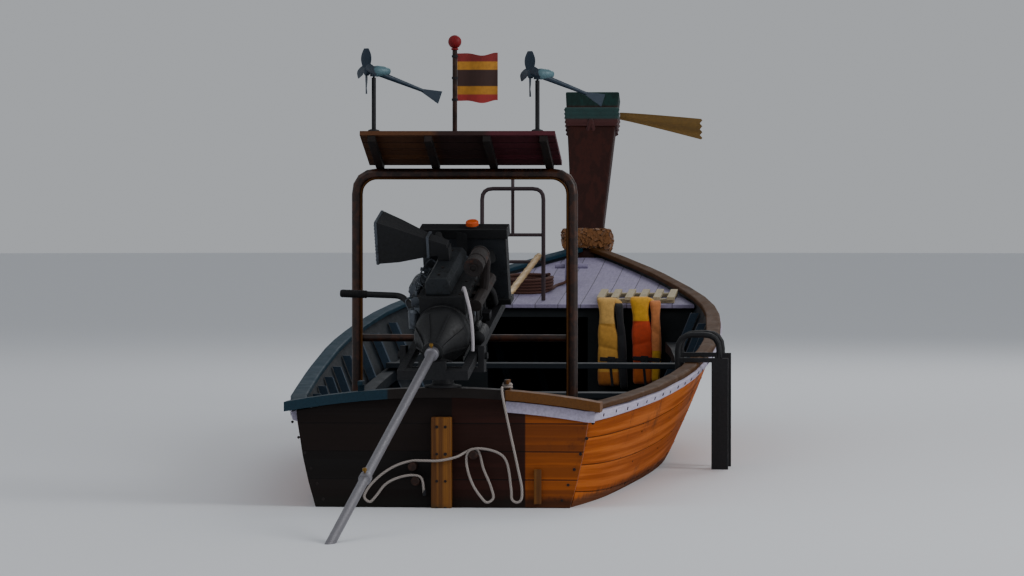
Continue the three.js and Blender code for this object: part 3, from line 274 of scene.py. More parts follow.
def build_grain(tree: Tree, ins: Sockets) -> Sockets:
    """Makes wood grain, long fibres with slow bands, at a place that is already stretched.

    Args:
        tree: The group's nodes.
        ins: The group's inputs.

    Returns:
        The tone and the height.
    """
    fibres = tree.noise(ins["Vector"], 5.0, 9.0, 0.7)
    bands = tree.noise(ins["Vector"], 0.9, 3.0, 0.5)
    rings = tree.ranged(tree.math("SINE", tree.times(bands, 21.0)), -1.0, 1.0)
    mixed = tree.math("ADD", tree.times(fibres, 0.78), tree.times(rings, 0.22))
    return {"Tone": tree.ranged(mixed, 0.25, 0.8), "Height": mixed}


def build_weather(tree: Tree, ins: Sockets) -> Sockets:
    """Makes patches of wear or dirt: large soft areas broken up by small ones.

    Args:
        tree: The group's nodes.
        ins: The group's inputs.

    Returns:
        The patches' mask and the small areas.
    """
    large = tree.noise(ins["Vector"], ins["Scale"], 3.0, 0.6)
    small = tree.noise(ins["Vector"], tree.times(ins["Scale"], 9.0), 5.0, 0.7)
    both = tree.math("ADD", tree.times(large, 0.65), tree.times(small, 0.35))
    start = tree.math("SUBTRACT", 0.82, tree.times(ins["Amount"], 0.5))
    return {"Mask": tree.ranged(tree.math("SUBTRACT", both, start), 0.0, 0.12), "Fine": small}


def build_boards(tree: Tree, ins: Sockets) -> Sockets:
    """Makes boards side by side.

    Args:
        tree: The group's nodes.
        ins: The group's inputs.

    Returns:
        A tone for each board, and the dark seam between two.
    """
    turns = tree.math("DIVIDE", ins["Place"], ins["Pitch"])
    tone = tree.node("ShaderNodeTexWhiteNoise", W=tree.math("FLOOR", turns), noise_dimensions="1D")
    away = tree.math("ABSOLUTE", tree.math("SUBTRACT", tree.math("FRACT", turns), 0.5))
    edge = tree.math("SUBTRACT", 0.5, tree.math("DIVIDE", ins["Seam"], ins["Pitch"]))
    line = tree.ranged(tree.math("SUBTRACT", away, edge), -0.004, 0.006)
    return {"Tone": tone.outputs["Value"], "Line": line}


def build_weave(tree: Tree, ins: Sockets) -> Sockets:
    """Makes a plain weave from two crossed waves.

    Args:
        tree: The group's nodes.
        ins: The group's inputs.

    Returns:
        The height and the tone of the threads.
    """
    place = tree.node("ShaderNodeSeparateXYZ", ins["Vector"])
    waves = [tree.math("SINE", tree.times(place.outputs[axis], ins["Threads"])) for axis in (0, 1)]
    slubs = tree.noise(ins["Vector"], 40.0, 4.0, 0.6)
    return {"Height": tree.math("ADD", tree.times(*waves), slubs), "Tone": slubs}


GRAIN = new_group("Grain", "ShaderNodeTree", {"Vector": "Vector"}, {"Tone": 0.0, "Height": 0.0}, build_grain)
WEATHER = new_group("Weather", "ShaderNodeTree", {"Vector": "Vector", "Scale": 3.0, "Amount": 0.5},
                    {"Mask": 0.0, "Fine": 0.0}, build_weather)
BOARDS = new_group("Boards", "ShaderNodeTree", {"Place": 0.0, "Pitch": 0.2, "Seam": 0.003},
                   {"Tone": 0.0, "Line": 0.0}, build_boards)
WEAVE = new_group("Weave", "ShaderNodeTree", {"Vector": "Vector", "Threads": 900.0},
                  {"Height": 0.0, "Tone": 0.0}, build_weave)


# Finishes


@dataclass(frozen=True)
class Bands:
    """Colours laid side by side on a piece, changing at places along one axis."""

    axis: Axis = Axis.Z
    edges: tuple[float, ...] = ()
    colours: tuple[str, ...] = ()
    soft: float = 0.004

    def over(self, tree: Surface, code: str) -> Socket | Colour:
        """Lays the bands' colours over a base colour, from low to high along the axis.

        Args:
            tree: The material's nodes.
            code: The base colour, which shows below the first edge.

        Returns:
            The colour with its bands.
        """
        mixed = rgb(code)
        for edge, colour in zip(self.edges, self.colours):
            share = tree.ranged(tree.axes[self.axis.value], edge - self.soft, edge + self.soft)
            mixed = tree.mix(share, mixed, rgb(colour))
        return mixed


@dataclass(frozen=True)
class Boarding:
    """Boards side by side on a piece, counted along one axis."""

    axis: Axis
    pitch: float
    seam: float

    def over(self, tree: Surface, colour: Socket, height: Socket, tone: tuple[float, str],
             line: tuple[float, str], depth: float) -> tuple[Socket, Socket]:
        """Gives each board a tone of its own, and cuts the seams.

        Args:
            tree: The material's nodes.
            colour: The colour so far.
            height: The height so far.
            tone: How far the boards' tones may go, and to which colour.
            line: How much the seams show, and their colour.
            depth: How deep the seams are cut.

        Returns:
            The new colour and height.
        """
        boards = tree.group(BOARDS, Place=tree.axes[self.axis.value], Pitch=self.pitch, Seam=self.seam)
        colour = tree.stain(colour, boards["Tone"], *tone)
        colour = tree.stain(colour, boards["Line"], *line)
        return colour, tree.math("SUBTRACT", height, tree.times(boards["Line"], depth))


@dataclass(frozen=True)
class Finish:
    """What every finish has: a name, and a shader whose inputs it works out."""

    name: str

    def shader(self, tree: Surface) -> dict[str, object]:
        """Returns the inputs of the surface's shader; each finish has its own."""
        raise NotImplementedError

    def material(self) -> bpy.types.Material:
        """Builds the material once, under a name that no slot has.

        Returns:
            The material.
        """
        name = f"{self.name}_finish"
        if name in bpy.data.materials:
            return bpy.data.materials[name]
        made = bpy.data.materials.new(name)
        made.use_nodes = True
        tree = Surface(made.node_tree)
        surface = tree.node("ShaderNodeBsdfPrincipled", **self.shader(tree))
        tree.node("ShaderNodeOutputMaterial", surface.outputs["BSDF"])
        return made


@dataclass(frozen=True)
class Plain(Finish):
    """One smooth dull colour, for what isn't part of the boat."""

    colour: str
    roughness: float

    def shader(self, tree: Surface) -> dict[str, object]:
        """Returns the colour and the roughness."""
        return {"Base_Color": rgb(self.colour), "Roughness": self.roughness}


@dataclass(frozen=True)
class Timber(Finish):
    """Bare, oiled or varnished timber with its grain along one axis."""

    light: str
    dark: str
    stain: str = "1c120c"
    run: Axis = Axis.X
    roughness: float = 0.5
    stained: float = 0.4
    coat: float = 0.0
    shine: float = 0.3
    length: float = 0.2
    boards: Boarding | None = None
    bands: Bands = Bands()
    foul: str | None = None
    foul_top: float = 0.07
    follows_planks: bool = False

    def shader(self, tree: Surface) -> dict[str, object]:
        """Mixes the grain's two tones, then stains, seams and the fouled band at the waterline.

        Args:
            tree: The material's nodes.

        Returns:
            The shader's inputs.
        """
        scale = [11.0, 11.0, 11.0]
        scale[self.run.value] = self.length
        plank = tree.kept("plank")
        place = tree.lie() if self.follows_planks else tree.place
        shifted = tree.node("ShaderNodeVectorMath", place, tree.times(plank, 7.0)).outputs[0]
        grain = tree.group(GRAIN, Vector=tree.stretched(shifted, scale))
        # Bands lay other colours over the light tone. On the prow they are a real painted band; on the
        # transom they are painted shade, darker towards port.
        light = self.bands.over(tree, self.light)
        if self.bands.edges:
            colour = tree.mix(tree.ranged(grain["Tone"], 0.0, 1.0, 0.55, 1.0), rgb(self.stain), light)
        else:
            colour = tree.mix(grain["Tone"], rgb(self.dark), light)
        colour = tree.stain(colour, plank, 0.38, self.dark)
        weather = tree.weather(1.7, self.stained)
        colour = tree.stain(colour, weather["Mask"], 0.6, self.stain)
        height = tree.times(grain["Height"], 0.5)
        if self.follows_planks:
            colour = tree.stain(colour, tree.kept("seam"), 0.95, self.stain)
        if self.boards:
            seams = (0.85, self.stain)
            colour, height = self.boards.over(tree, colour, height, (0.35, self.dark), seams, 2.5)
        if self.foul:
            ragged = tree.math("ADD", tree.axes["Z"], tree.times(weather["Fine"], 0.09))
            wet = tree.ranged(ragged, self.foul_top, self.foul_top + 0.05, 1.0, 0.0)
            colour = tree.stain(colour, wet, 0.75, self.foul)
        rough = tree.ranged(grain["Tone"], 0.0, 1.0, self.roughness + 0.1, self.roughness - 0.06)
        return {"Base_Color": colour, "Roughness": rough, "Coat_Weight": self.coat, "Coat_Roughness": 0.3,
                "Specular_IOR_Level": self.shine, "Normal": tree.bump(height, 0.5, 0.0016)}


@dataclass(frozen=True)
class Paint(Finish):
    """Brushed paint on timber, chipped and grimy, over boards where there are some."""

    colour: str
    under: str
    grime: str
    roughness: float = 0.6
    chipped: float = 0.3
    grimy: float = 0.4
    uneven: float = 0.25
    shine: float = 0.25
    boards: Boarding | None = None
    bands: Bands = Bands()

    def shader(self, tree: Surface) -> dict[str, object]:
        """Lays the paint over the timber, then chips and dirt.

        Args:
            tree: The material's nodes.

        Returns:
            The shader's inputs.
        """
        base = self.bands.over(tree, self.colour)
        brush = tree.noise(tree.stretched(tree.place, (3.0, 40.0, 40.0)), 2.0, 5.0, 0.6)
        chips = tree.weather(5.5, self.chipped)
        grime = tree.weather(1.1, self.grimy, (0.6, 1.0, 1.6))
        colour = tree.mix(tree.ranged(brush, 0.3, 0.75, 0.0, 0.28), base, rgb(self.grime))
        colour = tree.stain(colour, grime["Mask"], 0.55, self.grime)
        colour = tree.stain(colour, chips["Mask"], 0.8, self.under)
        height = tree.math("SUBTRACT", tree.times(brush, 0.4), chips["Mask"])
        if self.boards:
            seams = (0.8, self.grime)
            colour, height = self.boards.over(tree, colour, height, (self.uneven, self.grime), seams, 3.0)
        rough = tree.ranged(grime["Fine"], 0.2, 0.8, self.roughness - 0.08, self.roughness + 0.14)
        return {"Base_Color": colour, "Roughness": rough, "Specular_IOR_Level": self.shine,
                "Normal": tree.bump(height, 0.45, 0.0012)}


@dataclass(frozen=True)
class Metal(Finish):
    """Bare, cast or painted metal with oil, pits and rust."""

    colour: str
    stain: str = "241c16"
    rust: str = "6a3418"
    metallic: float = 1.0
    roughness: float = 0.4
    oily: float = 0.4
    rusty: float = 0.2
    cast: float = 0.3

    def shader(self, tree: Surface) -> dict[str, object]:
        """Mixes the metal with stains and rust, with a finely pitted surface.

        Args:
            tree: The material's nodes.

        Returns:
            The shader's inputs.
        """
        pits = tree.noise(tree.place, 220.0, 3.0, 0.6)
        oil = tree.weather(7.0, self.oily)
        rust = tree.weather(13.0, self.rusty)["Mask"]
        colour = tree.mix(tree.ranged(pits, 0.3, 0.8, 0.0, 0.25), rgb(self.colour), rgb(self.stain))
        colour = tree.stain(colour, oil["Mask"], 0.7, self.stain)
        colour = tree.stain(colour, rust, 0.85, self.rust)
        smooth = tree.ranged(oil["Fine"], 0.2, 0.8, self.roughness - 0.1, self.roughness + 0.16)
        height = tree.math("ADD", tree.times(pits, self.cast), rust)
        return {"Base_Color": colour, "Roughness": tree.math("ADD", smooth, tree.times(rust, 0.3)),
                "Metallic": tree.ranged(rust, 0.0, 1.0, self.metallic, self.metallic * 0.15),
                "Normal": tree.bump(height, 0.35, 0.0008)}


@dataclass(frozen=True)
class Moulded(Finish):
    """Moulded plastic or rubber, scuffed and dusty."""

    colour: str = "111114"
    scuff: str = "55524c"
    roughness: float = 0.55
    scuffed: float = 0.3

    def shader(self, tree: Surface) -> dict[str, object]:
        """Adds pale scuffs and a fine leather-like texture.

        Args:
            tree: The material's nodes.

        Returns:
            The shader's inputs.
        """
        scuffs = tree.weather(6.0, self.scuffed)
        colour = tree.stain(rgb(self.colour), scuffs["Mask"], 0.4, self.scuff)
        rough = tree.ranged(scuffs["Fine"], 0.2, 0.8, self.roughness - 0.1, self.roughness + 0.15)
        texture = tree.noise(tree.place, 380.0, 2.0, 0.5)
        return {"Base_Color": colour, "Roughness": rough, "Specular_IOR_Level": 0.35,
                "Normal": tree.bump(texture, 0.25, 0.0004)}


@dataclass(frozen=True)
class Cloth(Finish):
    """Woven cloth or webbing, with its threads along the piece's own UV map."""

    colour: str
    shade: str
    threads: float = 900.0
    sheen: float = 0.3
    faded: float = 0.4
    bands: Bands = Bands()

    def shader(self, tree: Surface) -> dict[str, object]:
        """Weaves the base colour, with faded and soiled patches.

        Args:
            tree: The material's nodes.

        Returns:
            The shader's inputs.
        """
        weave = tree.group(WEAVE, Vector=tree.lie(), Threads=self.threads)
        base = self.bands.over(tree, self.colour)
        colour = tree.mix(tree.ranged(weave["Tone"], 0.3, 0.8, 0.0, 0.3), base, rgb(self.shade))
        colour = tree.stain(colour, tree.weather(8.0, self.faded)["Mask"], 0.45, self.shade)
        return {"Base_Color": colour, "Roughness": 0.85, "Sheen_Weight": self.sheen, "Sheen_Roughness": 0.5,
                "Normal": tree.bump(weave["Height"], 0.3, 0.0006)}


@dataclass(frozen=True)
class Laid(Finish):
    """Rope fibre: pale strands, with painted shade in the lay between them and patches of dirt."""

    colour: str
    shade: str

    def shader(self, tree: Surface) -> dict[str, object]:
        """Paints shade into the hollows between the strands, adds patches of dirt, and roughens the fibres.

        Args:
            tree: The material's nodes.

        Returns:
            The shader's inputs.
        """
        fibre = tree.noise(tree.stretched(tree.lie(), (240.0, 60.0, 1.0)), 1.0, 5.0, 0.7)
        colour = tree.mix(tree.ranged(fibre, 0.3, 0.8, 0.0, 0.4), rgb(self.colour), rgb(self.shade))
        # Painted shade: darker where the strands dip into the lay.
        colour = tree.stain(colour, tree.kept("hollow"), 0.75, self.shade)
        colour = tree.stain(colour, tree.weather(9.0, 0.45)["Mask"], 0.35, self.shade)
        return {"Base_Color": colour, "Roughness": 0.9, "Normal": tree.bump(fibre, 0.5, 0.0006)}


HULL_VARNISH = Timber("hull_varnish", "be640a", "843c04", "2a1206", roughness=0.62, length=0.16, stained=0.55,
                      shine=0.04, foul="120f08", follows_planks=True)
# The transom's bands are painted shade. The starboard end keeps the orange varnish, the middle is painted
# dark red-brown, and the port half is painted near black, where shade falls.
SHADED_TRANSOM_VARNISH = Timber("transom_varnish", "a85410", "26120a", "0a0504", Axis.Y, 0.55, 0.5, shine=0.2,
                         boards=Boarding(Axis.Z, 0.145, 0.003), foul="0e0d08",
                         bands=Bands(Axis.Y, (-0.43, -0.05), ("351208", "0d0a09")))
PROW_VARNISH = Timber("prow_varnish", "34120a", "1a0805", "0a0403", Axis.Z, 0.55, 0.35, shine=0.2,
                      bands=Bands(Axis.Z, (2.16,), ("10302c",), 0.012))
DARK_TIMBER = Timber("dark_timber", "3a1e12", "1c0e08", roughness=0.6)
AMBER_TIMBER = Timber("amber_timber", "8e5a18", "4c2a0c", run=Axis.Z, roughness=0.6, foul="2c2a12",
                      foul_top=0.03)
ARCH_VARNISH = Timber("arch_varnish", "40200f", "180a06", roughness=0.45, coat=0.2)
BAMBOO = Timber("bamboo_cane", "c4a878", "86683c", "4a3a26")
BEARER_TIMBER = Timber("bearer_timber", "1e0f0a", "0e0705", roughness=0.65)
ROOF_PAINT = Paint("roof_paint", "561c28", "3a2016", "0e0707", chipped=0.25, uneven=0.7,
                   boards=Boarding(Axis.X, 0.088, 0.004),
                   bands=Bands(Axis.Y, (-0.16, 0.12), ("321a16", "603a1e"), 0.03))
CAP_PAINT = Paint("cap_paint", "643e16", "2a180b", "0e0a08", grimy=0.5,
                  bands=Bands(Axis.Y, (-0.33, 0.28), ("1a1310", "12303e"), 0.006))
TEAL_PAINT = Paint("teal_paint", "12303e", "3a2c20", "080d10", shine=0.1)
GOLD_PAINT = Paint("gold_paint", "482c10", "24160a", "0e0804", chipped=0.4, grimy=0.55, shine=0.08)
PALE_PAINT = Paint("pale_paint", "b8b0c6", "6a5c50", "3e3836", grimy=0.3)
GRATING_PAINT = Paint("grating_paint", "a89a7c", "4a3826", "2a241c", chipped=0.45, grimy=0.45)
INSIDE_PAINT = Paint("inside_paint", "141b22", "2e2218", "060606", grimy=0.5)
RIB_PAINT = Paint("rib_paint", "2c3c4c", "4a3828", "0c0e10", grimy=0.5)
# Near black: the shade on the bulkhead's aft face is painted into its colour.
BULKHEAD_PAINT = Paint("bulkhead_paint", "10161a", "2a2018", "050505", grimy=0.5)
SOLE_PAINT = Paint("sole_paint", "2a3138", "4a3a2c", "0c0b09", chipped=0.5, grimy=0.55,
                   boards=Boarding(Axis.Y, 0.184, 0.003))
# Pale grey deck paint, with the sky's lavender reflection painted into its colour.
DECK_PAINT = Paint("deck_paint", "8c84a0", "5c4e42", "2e2a2a", boards=Boarding(Axis.Y, 0.148, 0.0025))
RED_PAINT = Paint("red_paint", "7a0e14", "3a140e", "140606", roughness=0.5)
VANE_PAINT = Metal("vane_paint", "0c2638", metallic=0.1, roughness=0.5, oily=0.25)
POD_PAINT = Metal("pod_paint", "4c6c74", "12242c", metallic=0.1, roughness=0.5, oily=0.45)
IRON = Metal("iron", "121216", "070606", metallic=0.3, roughness=0.6, rusty=0.35)
HOOP_IRON = Metal("hoop_iron", "3a2c30", "120c0c", metallic=0.4, roughness=0.5, rusty=0.3)
CAST_BLACK = Metal("cast_black", "0d0e11", "050404", "36200f", 0.3, 0.55, 0.55, 0.25, 0.8)
COVER_GREY = Metal("cover_grey", "24282c", "0a0908", "36200f", 0.5, 0.5, 0.6, 0.3, 0.6)
ALLOY = Metal("alloy", "565b62", "120f0c", metallic=0.8, roughness=0.42, oily=0.6, rusty=0.15)
TAIL_STEEL = Metal("tail_steel", "7c7a80", "3a3430", metallic=0.7, roughness=0.42, rusty=0.3)
BRONZE = Metal("bronze", "8c6a32", "2a3a2c", "3f5a48", roughness=0.38, rusty=0.35)
RUSTED = Metal("rusted_iron", "1c1412", "0a0706", "4a2412", 0.3, 0.7, 0.4, 0.55, 0.9)
BLACK_PLASTIC = Moulded("black_plastic")
RUBBER = Moulded("rubber", "101012", "3a3834", 0.75, 0.4)
RED_PLASTIC = Moulded("red_plastic", "5c120a", "8a6a5c", 0.5, 0.45)
ORANGE_PLASTIC = Moulded("orange_plastic", "b8480e", "c88a60", 0.5)
PALE_HOSE = Moulded("pale_hose", "a8a2a6", "504a44", 0.5, 0.5)
WEBBING = Cloth("webbing", "0c0c12", "26262c", 1500.0, 0.05)
STREAMER_CLOTH = Cloth("streamer_weave", "664a14", "2a1e0a", 700.0)
SASH_CLOTH = Cloth("sash_weave", "3c100e", "160806", 700.0, 0.1,
                   bands=Bands(Axis.Z, (2.07,), ("0e3432",), 0.01))
GARLAND_CLOTH = Cloth("garland_weave", "6e4212", "2a1608", 700.0)
ROPE = Laid("laid_rope", "a89e98", "4a423c")
DARK_ROPE = Laid("dark_rope", "4c2a20", "1a0d09")
FLOOR = Plain("studio_floor", "dcdee2", 0.7)


# Meshes


def new_mesh(name: str, vertices: Iterable[Sequence[float]], faces: Iterable[Sequence[int]]) -> Mesh:
    """Makes a mesh with its faces pointing out.

    Args:
        name: The mesh's name.
        vertices: Its points.
        faces: The numbers of each face's points.

    Returns:
        The mesh.
    """
    mesh = wire(name, vertices, (), faces)
    made = bmesh.new()
    made.from_mesh(mesh)
    bmesh.ops.recalc_face_normals(made, faces=made.faces)
    made.to_mesh(mesh)
    made.free()
    return mesh


def wire(name: str, points: Iterable[Sequence[float]], edges: Iterable[Sequence[int]] = (),
         faces: Iterable[Sequence[int]] = ()) -> Mesh:
    """Makes a mesh from lists as they are.

    Args:
        name: The mesh's name.
        points: Its points.
        edges: The numbers of each edge's points.
        faces: The numbers of each face's points.

    Returns:
        The mesh.
    """
    mesh = bpy.data.meshes.new(name)
    mesh.from_pydata([tuple(p) for p in points], list(edges), [tuple(f) for f in faces])
    return mesh


def keep(mesh: Mesh, name: str, values: Sequence[float]) -> None:
    """Keeps a number at each point of a mesh."""
    mesh.attributes.new(name, "FLOAT", "POINT").data.foreach_set("value", values)


def lay(mesh: Mesh, name: str, place: Callable[[int], Pair]) -> None:
    """Gives a mesh a UV map, with each point's place worked out from the point's number."""
    lies = mesh.uv_layers.new(name=name)
    for loop in mesh.loops:
        lies.data[loop.index].uv = place(loop.vertex_index)


def circle(count: int) -> list[float]:
    """Lists equal steps round a circle, in radians."""
    return [2 * math.pi * k / count for k in range(count)]


def skin(rings: int, count: int, closed: bool = False) -> Faces:
    """Lists the faces between rings of points.

    Args:
        rings: How many rings there are.
        count: How many points each has.
        closed: Whether the last ring joins the first.

    Returns:
        The faces, without those that close the ends.
    """
    faces: Faces = []
    for i in range(rings if closed else rings - 1):
        a, b = i * count, (i + 1) % rings * count
        faces += [(a + j, a + (j + 1) % count, b + (j + 1) % count, b + j) for j in range(count)]
    return faces


@dataclass
class Shape:
    """Vertices and faces that grow as simple forms are added. Each form returns the whole shape."""

    place: Matrix = field(default_factory=lambda: Matrix.Identity(4))
    body: Body = Body.HULL
    vertices: list[Vector] = field(default_factory=list)
    faces: Faces = field(default_factory=list)

    def add(self, vertices: Iterable[Sequence[float]], faces: Iterable[Sequence[int]]) -> Self:
        """Adds a form.

        Args:
            vertices: Its points, before they are put in place.
            faces: The numbers of each face's points.

        Returns:
            The whole shape.
        """
        offset = len(self.vertices)
        self.vertices += [self.place @ Vector(v) for v in vertices]
        self.faces += [tuple(i + offset for i in face) for face in faces]
        return self

    def box(self, low: Sequence[float], high: Sequence[float], lean: float = 0.0) -> Self:
        """Adds a box.

        Args:
            low: Its lowest corner.
            high: Its highest corner.
            lean: How far it is turned about its middle, round the boat's length.

        Returns:
            The whole shape.
        """
        middle, half = (Vector(low) + Vector(high)) / 2, (Vector(high) - Vector(low)) / 2
        turn = Matrix.Rotation(lean, 3, "X")
        corners = [middle + turn @ Vector((x * half.x, y * half.y, z * half.z))
                   for x in (-1, 1) for y in (-1, 1) for z in (-1, 1)]
        sides = [(0, 1, 3, 2), (4, 6, 7, 5), (0, 4, 5, 1), (2, 3, 7, 6), (0, 2, 6, 4), (1, 5, 7, 3)]
        return self.add(corners, sides)

    def loft(self, rings: Sequence[Ring], closed: bool = False) -> Self:
        """Adds a skin through rings of equally many points, with flat ends unless it closes on itself.

        Args:
            rings: The rings, in order.
            closed: Whether the last ring joins the first.

        Returns:
            The whole shape.
        """
        count = len(rings[0])
        last = (len(rings) - 1) * count
        ends = [] if closed else [tuple(range(count)), tuple(range(last, last + count))]
        return self.add([p for ring in rings for p in ring], skin(len(rings), count, closed) + ends)

    def turned(self, profile: Sequence[Pair], middle: Sequence[float], axis: Sequence[float] = UP,
               sides: int = 24) -> Self:
        """Adds a turned form.

        Args:
            profile: The height along the axis and the radius, from end to end.
            middle: Where the heights are counted from.
            axis: The direction of the axis.
            sides: How many faces go round.

        Returns:
            The whole shape.
        """
        along = Vector(axis).normalized()
        up = along.orthogonal().normalized()
        side = along.cross(up)
        return self.loft([[Vector(middle) + along * height + (up * math.cos(a) + side * math.sin(a)) * size
                           for a in circle(sides)]
                          for height, size in ((at, max(radius, LEAST_RADIUS)) for at, radius in profile)])

    def sweep(self, path: Sequence[Vector], radius: Callable[[float], float], sides: int = 12) -> Self:
        """Adds a round tube along a path.

        Args:
            path: The tube's centreline.
            radius: Gives the radius from 0 to 1 along it.
            sides: How many faces go round.

        Returns:
            The whole shape.
        """
        rings = []
        for i, (middle, up, side) in enumerate(carried_frames(path)):
            size = radius(i / (len(path) - 1))
            rings.append([middle + (up * math.cos(a) + side * math.sin(a)) * size for a in circle(sides)])
        return self.loft(rings)

    def around(self, count: int, axis: Axis, middle: Point, rings: Sequence[Ring],
               first: float = 0.0) -> Self:
        """Adds a lofted form several times round an axis, such as the blades on a hub.

        Args:
            count: How many there are.
            axis: The axis that they stand round.
            middle: A point on it, where the rings are counted from.
            rings: The form's rings.
            first: The angle of the first one.

        Returns:
            The whole shape.
        """
        for angle in circle(count):
            turn = Matrix.Translation(middle) @ Matrix.Rotation(first + angle, 4, axis.name)
            self.loft([[turn @ Vector(p) for p in ring] for ring in rings])
        return self

    def piece(self, name: str, finish: Finish, slot: str, **settings: object) -> Piece:
        """Makes the whole shape a piece of the boat, dressed with more settings where there are some."""
        mesh = new_mesh(name, self.vertices, self.faces)
        return dressed(name, mesh, Dress(finish, slot, self.body, **settings))


def carried_frames(path: Sequence[Vector]) -> list[tuple[Vector, Vector, Vector]]:
    """Gives each point of a path two directions across it, which turn as little as they can.

    Args:
        path: The path's points.

    Returns:
        Each point with its two directions.
    """
    frames: list[tuple[Vector, Vector, Vector]] = []
    up: Vector | None = None
    for i, point in enumerate(path):
        along = (path[min(i + 1, len(path) - 1)] - path[max(i - 1, 0)]).normalized()
        up = along.orthogonal() if up is None else up - along * up.dot(along)
        up = up.normalized()
        frames.append((point, up, along.cross(up)))
    return frames


def smooth_path(points: Iterable[Sequence[float]], per_span: int) -> list[Vector]:
    """Runs a centripetal curve through points, as the model's own ropes do.

    Args:
        points: The points, in order.
        per_span: How many steps each span is cut into.

    Returns:
        Points close together along the curve.
    """
    knots = [Vector(p) for p in points]
    ends = [knots[0] * 2 - knots[1], *knots, knots[-1] * 2 - knots[-2]]
    path = []
    for p0, p1, p2, p3 in zip(ends, ends[1:], ends[2:], ends[3:]):
        before, span, after = (max((b - a).length ** 0.5, LEAST_SPAN)
                               for a, b in ((p0, p1), (p1, p2), (p2, p3)))
        start = ((p1 - p0) / before - (p2 - p0) / (before + span) + (p2 - p1) / span) * span
        leave = ((p2 - p1) / span - (p3 - p1) / (span + after) + (p3 - p2) / after) * span
        for t in (k / per_span for k in range(per_span)):
            path.append(p1 * (2 * t**3 - 3 * t**2 + 1) + start * (t**3 - 2 * t**2 + t)
                        + p2 * (3 * t**2 - 2 * t**3) + leave * (t**3 - t**2))
    return [*path, knots[-1]]


def path_length(path: Sequence[Vector]) -> float:
    """Returns the length of a line through points."""
    return sum((b - a).length for a, b in zip(path, path[1:]))


def even_path(path: Sequence[Vector], step: float) -> list[Vector]:
    """Cuts a line into equal steps.

    Args:
        path: The line's points.
        step: About how long a step is.

    Returns:
        The ends of the steps.
    """
    total = path_length(path)
    count = max(2, round(total / step))
    result, walked, i = [path[0].copy()], 0.0, 0
    for goal in (total * k / count for k in range(1, count)):
        while walked + (path[i + 1] - path[i]).length < goal:
            walked += (path[i + 1] - path[i]).length
            i += 1
        result.append(path[i].lerp(path[i + 1], (goal - walked) / (path[i + 1] - path[i]).length))
    return [*result, path[-1].copy()]


def other_side(point: Vector) -> Vector:
    """Mirrors a point or a direction to the boat's other side."""
    return Vector((point.x, -point.y, point.z))


@dataclass(frozen=True)
class Dress:
    """What a piece needs to be part of the boat."""

    finish: Finish
    slot: str
    body: Body = Body.HULL
    replaces: tuple[str, ...] = ()
    bevel: float = 0.0
    steps: int = 2
    smooth: float = 38.0
    lie: Lie = Lie.UNSET


def dressed(name: str, mesh: Mesh, dress: Dress) -> Piece:
    """Makes a mesh a piece of the boat.

    Args:
        name: The piece's name.
        mesh: Its mesh, in the boat's own frame.
        dress: Its finish, slot, body and edges.

    Returns:
        The piece.
    """
    piece = bpy.data.objects.new(name, mesh)
    bpy.context.scene.collection.objects.link(piece)
    mesh.materials.clear()
    mesh.materials.append(dress.finish.material())
    mesh.shade_smooth()
    mesh.set_sharp_from_angle(angle=math.radians(dress.smooth))
    if dress.lie is not Lie.UNSET:
        share = 1.0 if dress.lie is Lie.AROUND else 0.0
        points = [v.co for v in mesh.vertices]
        lay(mesh, "cloth", lambda i: (points[i].y + points[i].x * share, points[i].z))
    if dress.bevel:
        bevel = piece.modifiers.new("edges", "BEVEL")
        bevel.width = dress.bevel
        bevel.segments = dress.steps
        bevel.limit_method = "ANGLE"
        bevel.angle_limit = BEVEL_FROM
        bevel.use_clamp_overlap = True
        bevel.harden_normals = False
        piece.modifiers.new("normals", "WEIGHTED_NORMAL").keep_sharp = True
    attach(piece, dress.body.value)
    if dress.replaces:
        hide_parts(*dress.replaces)
    log.info("%s: %d faces", name, len(mesh.polygons))
    return piece


def softened(node: str, finish: Finish, bevel: float = 0.003, steps: int = 2) -> Piece:
    """Replaces a solid with a copy whose edges are rounded.

    Args:
        node: The solid's node.
        finish: The copy's finish.
        bevel: The width of its rounded edges.
        steps: How many faces round an edge.

    Returns:
        The copy.
    """
    source = frame["nodes"][node]
    mesh = source.data.copy()
    made = bmesh.new()
    made.from_mesh(mesh)
    bmesh.ops.remove_doubles(made, verts=made.verts, dist=MERGE_WITHIN)
    bmesh.ops.dissolve_limit(made, angle_limit=FLAT_WITHIN, verts=made.verts, edges=made.edges)
    made.to_mesh(mesh)
    made.free()
    dress = Dress(finish, NODE_SLOTS[node], Body(source["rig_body"]), (node,), bevel, steps)
    return dressed(f"{node}_dressed", mesh, dress)


def softened_all(nodes: dict[Finish, str], bevel: float = 0.003) -> list[Piece]:
    """Rounds the edges of several solids, whose nodes are named in one line for each finish."""
    return [softened(node, finish, bevel) for finish, names in nodes.items() for node in names.split()]


# What repeats: Geometry Nodes


def shape_group(name: str, inputs: dict[str, str | float],
                build: Callable[[Tree, Sockets], Node]) -> NodeTree:
    """Builds a geometry group that ends in real geometry with the group's material.

    Args:
        name: The group's name.
        inputs: Its inputs, besides the geometry and the material.
        build: Adds the nodes and returns the last one.

    Returns:
        The group's tree.
    """
    def whole(tree: Tree, ins: Sockets) -> Sockets:
        """Adds all the nodes.

        Args:
            tree: The group's nodes.
            ins: The group's inputs.

        Returns:
            The geometry.
        """
        real = tree.node("GeometryNodeRealizeInstances", build(tree, ins).outputs[0]).outputs[0]
        last = tree.node("GeometryNodeSetMaterial", Geometry=real, Material=ins["Material"])
        return {"Geometry": last.outputs[0]}

    outputs = {"Geometry": "Geometry"}
    return new_group(name, "GeometryNodeTree", {**outputs, **inputs, "Material": "Material"}, outputs, whole)


